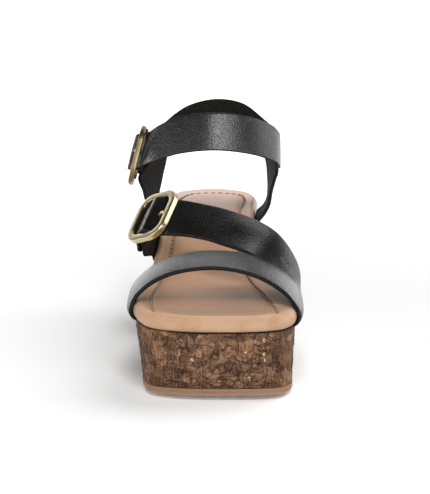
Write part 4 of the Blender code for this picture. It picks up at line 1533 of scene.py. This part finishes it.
    def tongue(self, finish: bpy.types.Material, node: str) -> bpy.types.Object:
        """Prong: a round wire hooked over the bar, tapering to a blunt tip against the frame.

        Args:
            finish: Brass.
            node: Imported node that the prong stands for.

        Returns:
            The prong.
        """
        reach = self.bar + GAP + self.prong
        turn = np.radians(np.arange(-150, 91, 20))
        hook = np.stack([reach * np.cos(turn), reach * np.sin(turn) - self.sink], axis=1)
        path = np.vstack([hook, self.prong_path])
        path = spline(path, [4] * (len(path) - 1))
        slope = unit(np.gradient(path, axis=0))
        left = np.linspace(1, 0, len(path))
        size = self.prong * (0.78 + 0.22 * smoothstep(left / 0.5)) * np.sqrt(np.clip(left / 0.03, 0.05, 1))
        b = circle(self.prong_steps)
        w = path[:, :1] - slope[:, 1:] * (size[:, None] * np.sin(b))
        n = path[:, 1:] + slope[:, :1] * (size[:, None] * np.sin(b))
        tube = self.point(w, n, size[:, None] * np.cos(b))
        handed = float(np.cross(self.along, self.out) @ self.across)
        made = Surface()
        tube = tube if handed > 0 else tube[:, ::-1]
        made.grid(tube, close_v=True, caps=True, stain=np.zeros(tube.shape[:2]))
        return settle(made.object(self.name + "_tongue", finish), Slot.BRASS, node)


def loose_end(grid: np.ndarray, run: float, lift: float, step: float = 4.0) -> list[np.ndarray]:
    """Rows of a strap's loose end, lying over another strap.

    Args:
        grid: Outer face that it lies on, from where it starts.
        run: Its length.
        lift: Its outer face over the grid.
        step: Distance between rows.

    Returns:
        The rows.
    """
    raised = grid + grid_normals(grid) * lift
    picks = np.searchsorted(run_along(raised.mean(axis=1)), np.arange(0.0, run + 0.1, step))
    return [raised[k] for k in picks if k < len(raised)]


@dataclass
class Vamp:
    """Toe band, instep strap, the tab of its buckle and the buckle."""

    last: Last
    columns: int = 25
    thick: float = 2.2
    tab_thick: float = 2.0
    half_wide: float = 13.1
    # Front x, y, z and rear x, y, z of the outer face, from the outer side to the inner side.
    toe_band: tuple = (
        (-45.2, 29.3, 50.0, -47.6, 53.4, 50.4),
        (-38.5, 30.0, 57.0, -42.5, 54.6, 57.3),
        (-27.5, 30.2, 63.3, -31.0, 55.2, 65.6),
        (-12.2, 30.0, 67.1, -14.0, 54.3, 71.0),
        (4.0, 29.4, 67.7, 4.0, 54.0, 72.1),
        (19.5, 26.8, 65.3, 19.6, 57.2, 69.3),
        (32.5, 23.7, 59.8, 35.6, 60.0, 62.6),
        (41.0, 20.2, 53.8, 46.0, 55.0, 52.8),
    )
    toe_outer: tuple = (28.5, 53.0)
    toe_inner: tuple = (15.5, 50.0)
    # The same for the instep strap, from the buckle to the inner side.
    instep: tuple = (
        (-17.5, 87.0, 73.8, -8.0, 103.0, 90.3),
        (-6.0, 80.5, 73.2, 5.5, 97.0, 88.4),
        (5.4, 72.5, 71.4, 18.5, 90.0, 85.2),
        (14.0, 64.0, 70.5, 28.2, 83.5, 81.9),
        (20.0, 57.0, 69.6, 36.7, 78.0, 77.0),
        (27.4, 52.4, 64.8, 43.5, 73.5, 69.2),
        (35.6, 48.9, 58.6, 48.4, 70.5, 59.7),
        (42.8, 45.5, 52.6, 50.2, 69.0, 51.6),
    )
    instep_inner: tuple = (43.0, 68.0)
    inner_shift: tuple = (0.35, 0.0, -0.1)
    tab_foot: tuple = (124.0, 152.0)
    tab_rows: tuple = ((-43.9, 119.8, 53.8, -38.4, 146.0, 65.0), (-44.9, 118.5, 60.5, -39.6, 143.0, 70.0))
    # Place of the buckle, then hints of its axes along and across the strap and outward.
    buckle: tuple = ((-37.0, 109.5, 80.3), (-0.67, 0.67, -0.30), (0.32, 0.66, 0.68), (-1, -0.5, 1))
    # Way through the frame: places along and outer face, under one side, over the bar, under the other.
    wave: tuple = (
        *((-16.8, -2.6), (-13.8, -2.15), (-11.2, -2.0), (-8.4, -0.9), (-4.4, 2.4), (0.0, 4.0)),
        *((4.4, 2.4), (8.4, -0.9), (11.2, -2.0), (13.8, -2.15)),
    )
    entry: tuple = ((-16.8, -1.2), (-11.2, -0.7), (-8.0, 0.0))  # places along, rise across
    eye: tuple = (-7.7, -0.4)
    creases: tuple = (
        Crease((30.0, 14.0), (46.0, 18.5), 0.25, 2.6),
        Crease((26.0, 8.5), (44.0, 11.5), 0.22, 2.4),
        Crease((32.0, 6.5), (86.0, 7.5), -1.25, 9.0),
    )
    tip_run: float = 19.5
    tip_after: int = 3

    def build(self, leather: tuple, brass: bpy.types.Material) -> None:
        """Builds the pieces from the sole upward.

        Args:
            leather: Finishes of the straps: outer face, edges and inner face.
            brass: Finish of the buckle.
        """
        c, last = self.columns, self.last
        rows, thicks = last.strap_foot(self.toe_outer, Side.OUTER, self.thick, c)
        rows += edges_rows(self.toe_band, c)
        ends, end_t = last.strap_foot(self.toe_inner, Side.INNER, self.thick, c, hug=(14, 27))
        thicks = thicks + [self.thick] * len(self.toe_band) + end_t[::-1]
        Strap("toe_band", rows + ends[::-1], thicks, crown=0.9).build(leather, "vamp_straps")

        buckle = Buckle("instep_buckle", *self.buckle)
        rows, thicks = last.strap_foot(self.tab_foot, Side.OUTER, self.tab_thick, c)
        rows += edges_rows(self.tab_rows, c)
        fold, fold_t = buckle.fold(c, False)
        thicks += [self.tab_thick] * len(self.tab_rows) + fold_t[::-1]
        tab = Strap("buckle_tab", rows + fold[::-1], thicks)
        tab.build(leather, "instep_buckle_tab")

        grid, _ = tab.lay()
        under = grid[: buckle.fold_end(grid) - self.tip_after]
        loose = loose_end(under[::-1, ::-1], self.tip_run, self.thick + 3 * GAP)
        rows = [r[::-1] for r in loose[::-1]]
        rise = np.interp([w for w, _ in self.wave], *np.array(self.entry).T)
        through = [buckle.row(w, n, self.half_wide, c, False, r) for (w, n), r in zip(self.wave, rise)]
        rows += through[::-1]
        rows += edges_rows(self.instep, c)
        thicks = [self.thick] * len(rows)
        ends, end_t = last.strap_foot(self.instep_inner, Side.INNER, self.thick, c)
        rows += [r + np.array(self.inner_shift) for r in ends[::-1]]
        rows = [r[::-1] for r in rows[::-1]]
        eyes = (buckle.point(*self.eye),)
        thicks = (thicks + end_t[::-1])[::-1]
        strap = Strap("instep_strap", rows, thicks, tip=4.5, creases=self.creases, holes=eyes)
        strap.build(leather, "vamp_straps")
        buckle.build(brass, "instep_buckle")
        buckle.tongue(brass, "instep_prong")


@dataclass
class AnkleStraps:
    """Ankle band with its back sling, two side straps and the buckle."""

    last: Last
    columns: int = 25
    thick: float = 2.2
    half_wide: float = 11.8
    # Upper x, y, z and lower x, y, z of the outer face, from the buckle round the back to the front.
    band: tuple = (
        (-33.3, 220.0, 125.0, -38.0, 219.5, 103.0),
        (-18.0, 231.5, 134.8, -20.5, 234.0, 111.2),
        (1.0, 237.0, 138.6, 0.5, 240.0, 115.0),
        (19.4, 232.5, 136.2, 21.5, 234.5, 112.2),
        (34.0, 220.0, 126.6, 37.2, 220.5, 103.0),
        (43.4, 196.0, 120.0, 43.9, 198.0, 96.4),
        (37.4, 178.5, 128.0, 39.8, 177.5, 103.6),
        (22.0, 166.5, 135.0, 24.4, 163.5, 110.6),
        (0.0, 160.5, 138.0, 0.5, 156.5, 114.2),
        (-21.5, 165.0, 135.2, -23.0, 161.0, 111.4),
        (-36.0, 167.6, 128.9, -38.0, 165.0, 106.2),
    )
    # Front x, y, z and rear x, y, z of the side straps' outer faces, upward.
    outer_side: tuple = (
        (-44.6, 173.0, 77.0, -38.4, 196.0, 78.0),
        (-47.2, 176.0, 84.5, -36.8, 206.0, 87.0),
        (-50.4, 181.0, 92.5, -34.6, 216.0, 96.0),
    )
    inner_side: tuple = (
        (33.8, 169.5, 71.4, 34.2, 195.0, 71.8),
        (36.4, 172.0, 76.4, 36.8, 199.0, 76.4),
        (38.0, 176.0, 84.0, 37.6, 205.0, 83.2),
        (40.6, 180.0, 91.8, 37.3, 213.0, 91.5),
        (42.2, 182.6, 96.2, 36.9, 217.0, 96.0),
    )
    feet: tuple = ((170.0, 193.0), (166.0, 190.0))
    tops: tuple = ((188.0, 224.0), (184.5, 222.0))
    top_share: float = 0.75
    side_sink: float = 1.1
    # Place of the buckle, then hints of its axes along and across the strap and outward.
    buckle: tuple = ((-49.5, 184.0, 108.4), (-0.04, 0.96, -0.27), (0.243, 0.0, 0.97), (-1, 0, 0))
    # Way through the frame: places along and outer face.
    wave: tuple = (
        *((-17.2, -3.8), (-14.8, -2.7), (-11.2, -2.0), (-8.4, -0.9), (-4.4, 2.8), (0.0, 4.9)),
        *((4.4, 2.9), (8.4, -0.9), (11.2, -2.0), (13.8, -2.15)),
    )
    entry: tuple = (1.8, 11.0)  # rise across, run
    tip_run: float = 20.0
    tip_after: int = 4

    def join(self, grid: np.ndarray, y: float, side: Side) -> np.ndarray:
        """A place in the band's lower half, sunk below its outer face.

        Args:
            grid: Outer face of the band.
            y: Length.
            side: Side of the shoe.

        Returns:
            The place.
        """
        j = int(round(self.top_share * (grid.shape[1] - 1)))
        column = grid[:, j]
        ours = column[:, 0] < 0 if side is Side.OUTER else column[:, 0] > 0
        i = int(np.argmin(np.where(ours, np.abs(column[:, 1] - y), FAR)))
        return column[i] - grid_normals(grid)[i, j] * self.side_sink

    def build(self, leather: tuple, brass: bpy.types.Material) -> None:
        """Builds the band, then the side straps, then the buckle.

        Args:
            leather: Finishes of the straps: outer face, edges and inner face.
            brass: Finish of the buckle.
        """
        c, last = self.columns, self.last
        # The ankle frame is darkened all over.
        buckle = Buckle("ankle_buckle", *self.buckle, long=38.1, slide=-1.6, age=0.85, thick=3.2)
        fold, fold_t = buckle.fold(c, True)
        body = edges_rows(self.band, c)
        sling = Strap("sling", fold + body, fold_t + [self.thick] * len(body))
        grid, _ = sling.lay()
        high, run = self.entry
        rise = [high * min(1.0, max(0.0, -w / run)) for w, _ in self.wave]
        through = [buckle.row(w, n, self.half_wide, c, True, r) for (w, n), r in zip(self.wave, rise)]
        loose = loose_end(grid[buckle.fold_end(grid) + self.tip_after :], self.tip_run, self.thick + GAP)
        rows = fold + body + through + loose
        thicks = fold_t + [self.thick] * (len(rows) - len(fold))
        Strap("ankle_band", rows, thicks, tip=8.0).build(leather, "ankle_straps")
        sides = ((Side.OUTER, self.outer_side), (Side.INNER, self.inner_side))
        for (side, table), foot, top in zip(sides, self.feet, self.tops):
            rows, thicks = last.strap_foot(foot, side, self.thick, c)
            rows += edges_rows(table, c)
            rows.append(edges_row(self.join(grid, top[0], side), self.join(grid, top[1], side), c))
            thicks += [self.thick] * (len(table) + 1)
            if side is Side.INNER:
                rows = [r[::-1] for r in rows]
            Strap(side.value + "_side_strap", rows, thicks).build(leather, "ankle_straps")
        buckle.build(brass, "ankle_buckle")
        buckle.tongue(brass, "ankle_prong")


# The studio


@dataclass
class Studio:
    """Camera at the photograph's place, white floor and soft lights."""

    camera_at: tuple = (0.00301, -0.8371, 0.2401)
    look_down: float = 12.224
    turn: float = -0.0003
    lens: float = 115.8
    sky: float = 1.3
    floor_half: float = 9000.0
    sun: tuple = (2.3, 60.0)
    sun_from: tuple = (0.58, 0.52, 0.72)
    lights: tuple = (
        # name, place, aim, width, height, radiance, reach
        ("backdrop", (-2.8, 6.2, 1.9), (-2.8, 0.0, 1.9), 6.4, 3.8, 2.1, Reach.MIRRORED),
        ("backdrop_right", (4.0, 6.2, 1.9), (4.0, 0.0, 1.9), 4.0, 3.8, 2.1, Reach.MIRRORED),
        ("sweep", (-1.0, 6.2, 4.4), (0.0, 0.0, 0.1), 5.0, 1.8, 1.2, Reach.MIRRORED),
        ("right_box", (1.30, 0.20, 0.52), (0.0, 0.0, 0.08), 1.2, 0.9, 2.6, Reach.MIRRORED),
        ("left_box", (-1.50, -0.60, 0.42), (0.0, 0.0, 0.10), 0.85, 0.75, 2.7, Reach.MIRRORED),
        ("left_fill", (-1.60, -0.20, 0.60), (0.0, 0.0, 0.05), 1.0, 1.0, 2.2, Reach.SPREAD),
        ("front_box", (0.37, -1.50, 0.49), (0.0, 0.0, 0.11), 1.05, 0.46, 12.4, Reach.MIRRORED),
        ("top_box", (0.10, 0.72, 1.28), (0.0, 0.0, 0.08), 0.88, 0.70, 1.9, Reach.MIRRORED),
        ("front_fill", (0.10, -1.50, 0.60), (0.0, 0.0, 0.03), 1.0, 0.6, 4.6, Reach.SPREAD),
        ("key", (0.05, -0.80, 1.48), (0.0, 0.0, 0.05), 0.60, 0.60, 11.5, Reach.SPREAD),
    )

    def build(self) -> None:
        """Sets the camera, the world, the floor and the lights."""
        scene = bpy.context.scene
        camera = bpy.data.objects.new("camera", bpy.data.cameras.new("camera"))
        camera.location = self.camera_at
        camera.rotation_euler = (math.radians(90 - self.look_down), 0.0, self.turn)
        camera.data.sensor_fit = "HORIZONTAL"
        camera.data.sensor_width = 36.0
        camera.data.lens = self.lens
        camera.data.clip_start = 0.01
        scene.collection.objects.link(camera)
        scene.camera = camera
        world = bpy.data.worlds.new("studio")
        scene.world = world
        world.use_nodes = True
        sky = world.node_tree.nodes["Background"]
        sky.inputs["Color"].default_value = (1.0, 1.0, 1.0, 1.0)
        sky.inputs["Strength"].default_value = self.sky
        world.cycles_visibility.diffuse = False
        world.cycles_visibility.glossy = False
        scene.view_settings.view_transform = "Standard"
        for name, place, aim, wide, high, radiance, reach in self.lights:
            lamp = bpy.data.lights.new(name, "AREA")
            lamp.shape = "RECTANGLE"
            lamp.size, lamp.size_y = wide, high
            lamp.energy = radiance * math.pi * wide * high
            self.hang(lamp, np.array(place), np.array(place) - np.array(aim), reach)
        sun = bpy.data.lights.new("sun", "SUN")
        sun.energy, sun.angle = self.sun[0], math.radians(self.sun[1])
        self.hang(sun, np.array(self.sun_from), np.array(self.sun_from), Reach.SPREAD)
        self.floor()

    def hang(self, data: bpy.types.Light, place: np.ndarray, away: np.ndarray, reach: Reach) -> None:
        """Puts a light at a place, turned to shine against a direction.

        Args:
            data: The light.
            place: Where it hangs.
            away: Direction from the shoe to the light.
            reach: What it gives.
        """
        lamp = bpy.data.objects.new(data.name, data)
        bpy.context.scene.collection.objects.link(lamp)
        lamp.location = place
        x, y, z = unit(away)
        lamp.rotation_euler = (math.acos(z), 0.0, math.atan2(x, -y))
        lamp.visible_glossy = reach is Reach.MIRRORED
        lamp.visible_diffuse = reach is Reach.SPREAD

    def spare(self, piece: bpy.types.Object) -> None:
        """Keeps the strong front box off a piece that would glare along its whole length from behind.

        Args:
            piece: The piece.
        """
        spared = bpy.data.collections.new("spared")
        spared.objects.link(piece)
        spared.collection_objects[0].light_linking.link_state = "EXCLUDE"
        bpy.data.objects["front_box"].light_linking.receiver_collection = spared

    def floor(self) -> None:
        """A wide flat sheet under the shoe."""
        side = np.linspace(-self.floor_half, self.floor_half, 3)
        x, y = np.meshgrid(side, side, indexing="ij")
        made = Surface()
        made.grid(np.stack([x, y, np.zeros_like(x)], axis=2))
        made.object("floor", StudioFloor().make())


def main() -> None:
    """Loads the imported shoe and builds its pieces, from the sole up."""
    logging.basicConfig(level=logging.INFO, format="%(name)s %(message)s")
    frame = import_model()
    LOG.info("%d nodes", len(frame["nodes"]))
    studio = Studio()
    studio.build()
    last = Last()
    Outsole(last).build(OutsoleRubber().make())
    CorkWedge(last).build(CorkVeneer().make())
    footbed = Footbed(last)
    studio.spare(footbed.build(FootbedLeather().make()))
    footbed.sew(WaxedThread().make())
    leather = (StrapLeather().make(), EdgePaint().make(), StrapLining().make())
    brass = AntiqueBrass().make()
    Vamp(last).build(leather, brass)
    AnkleStraps(last).build(leather, brass)


if __name__ == "__main__":
    main()
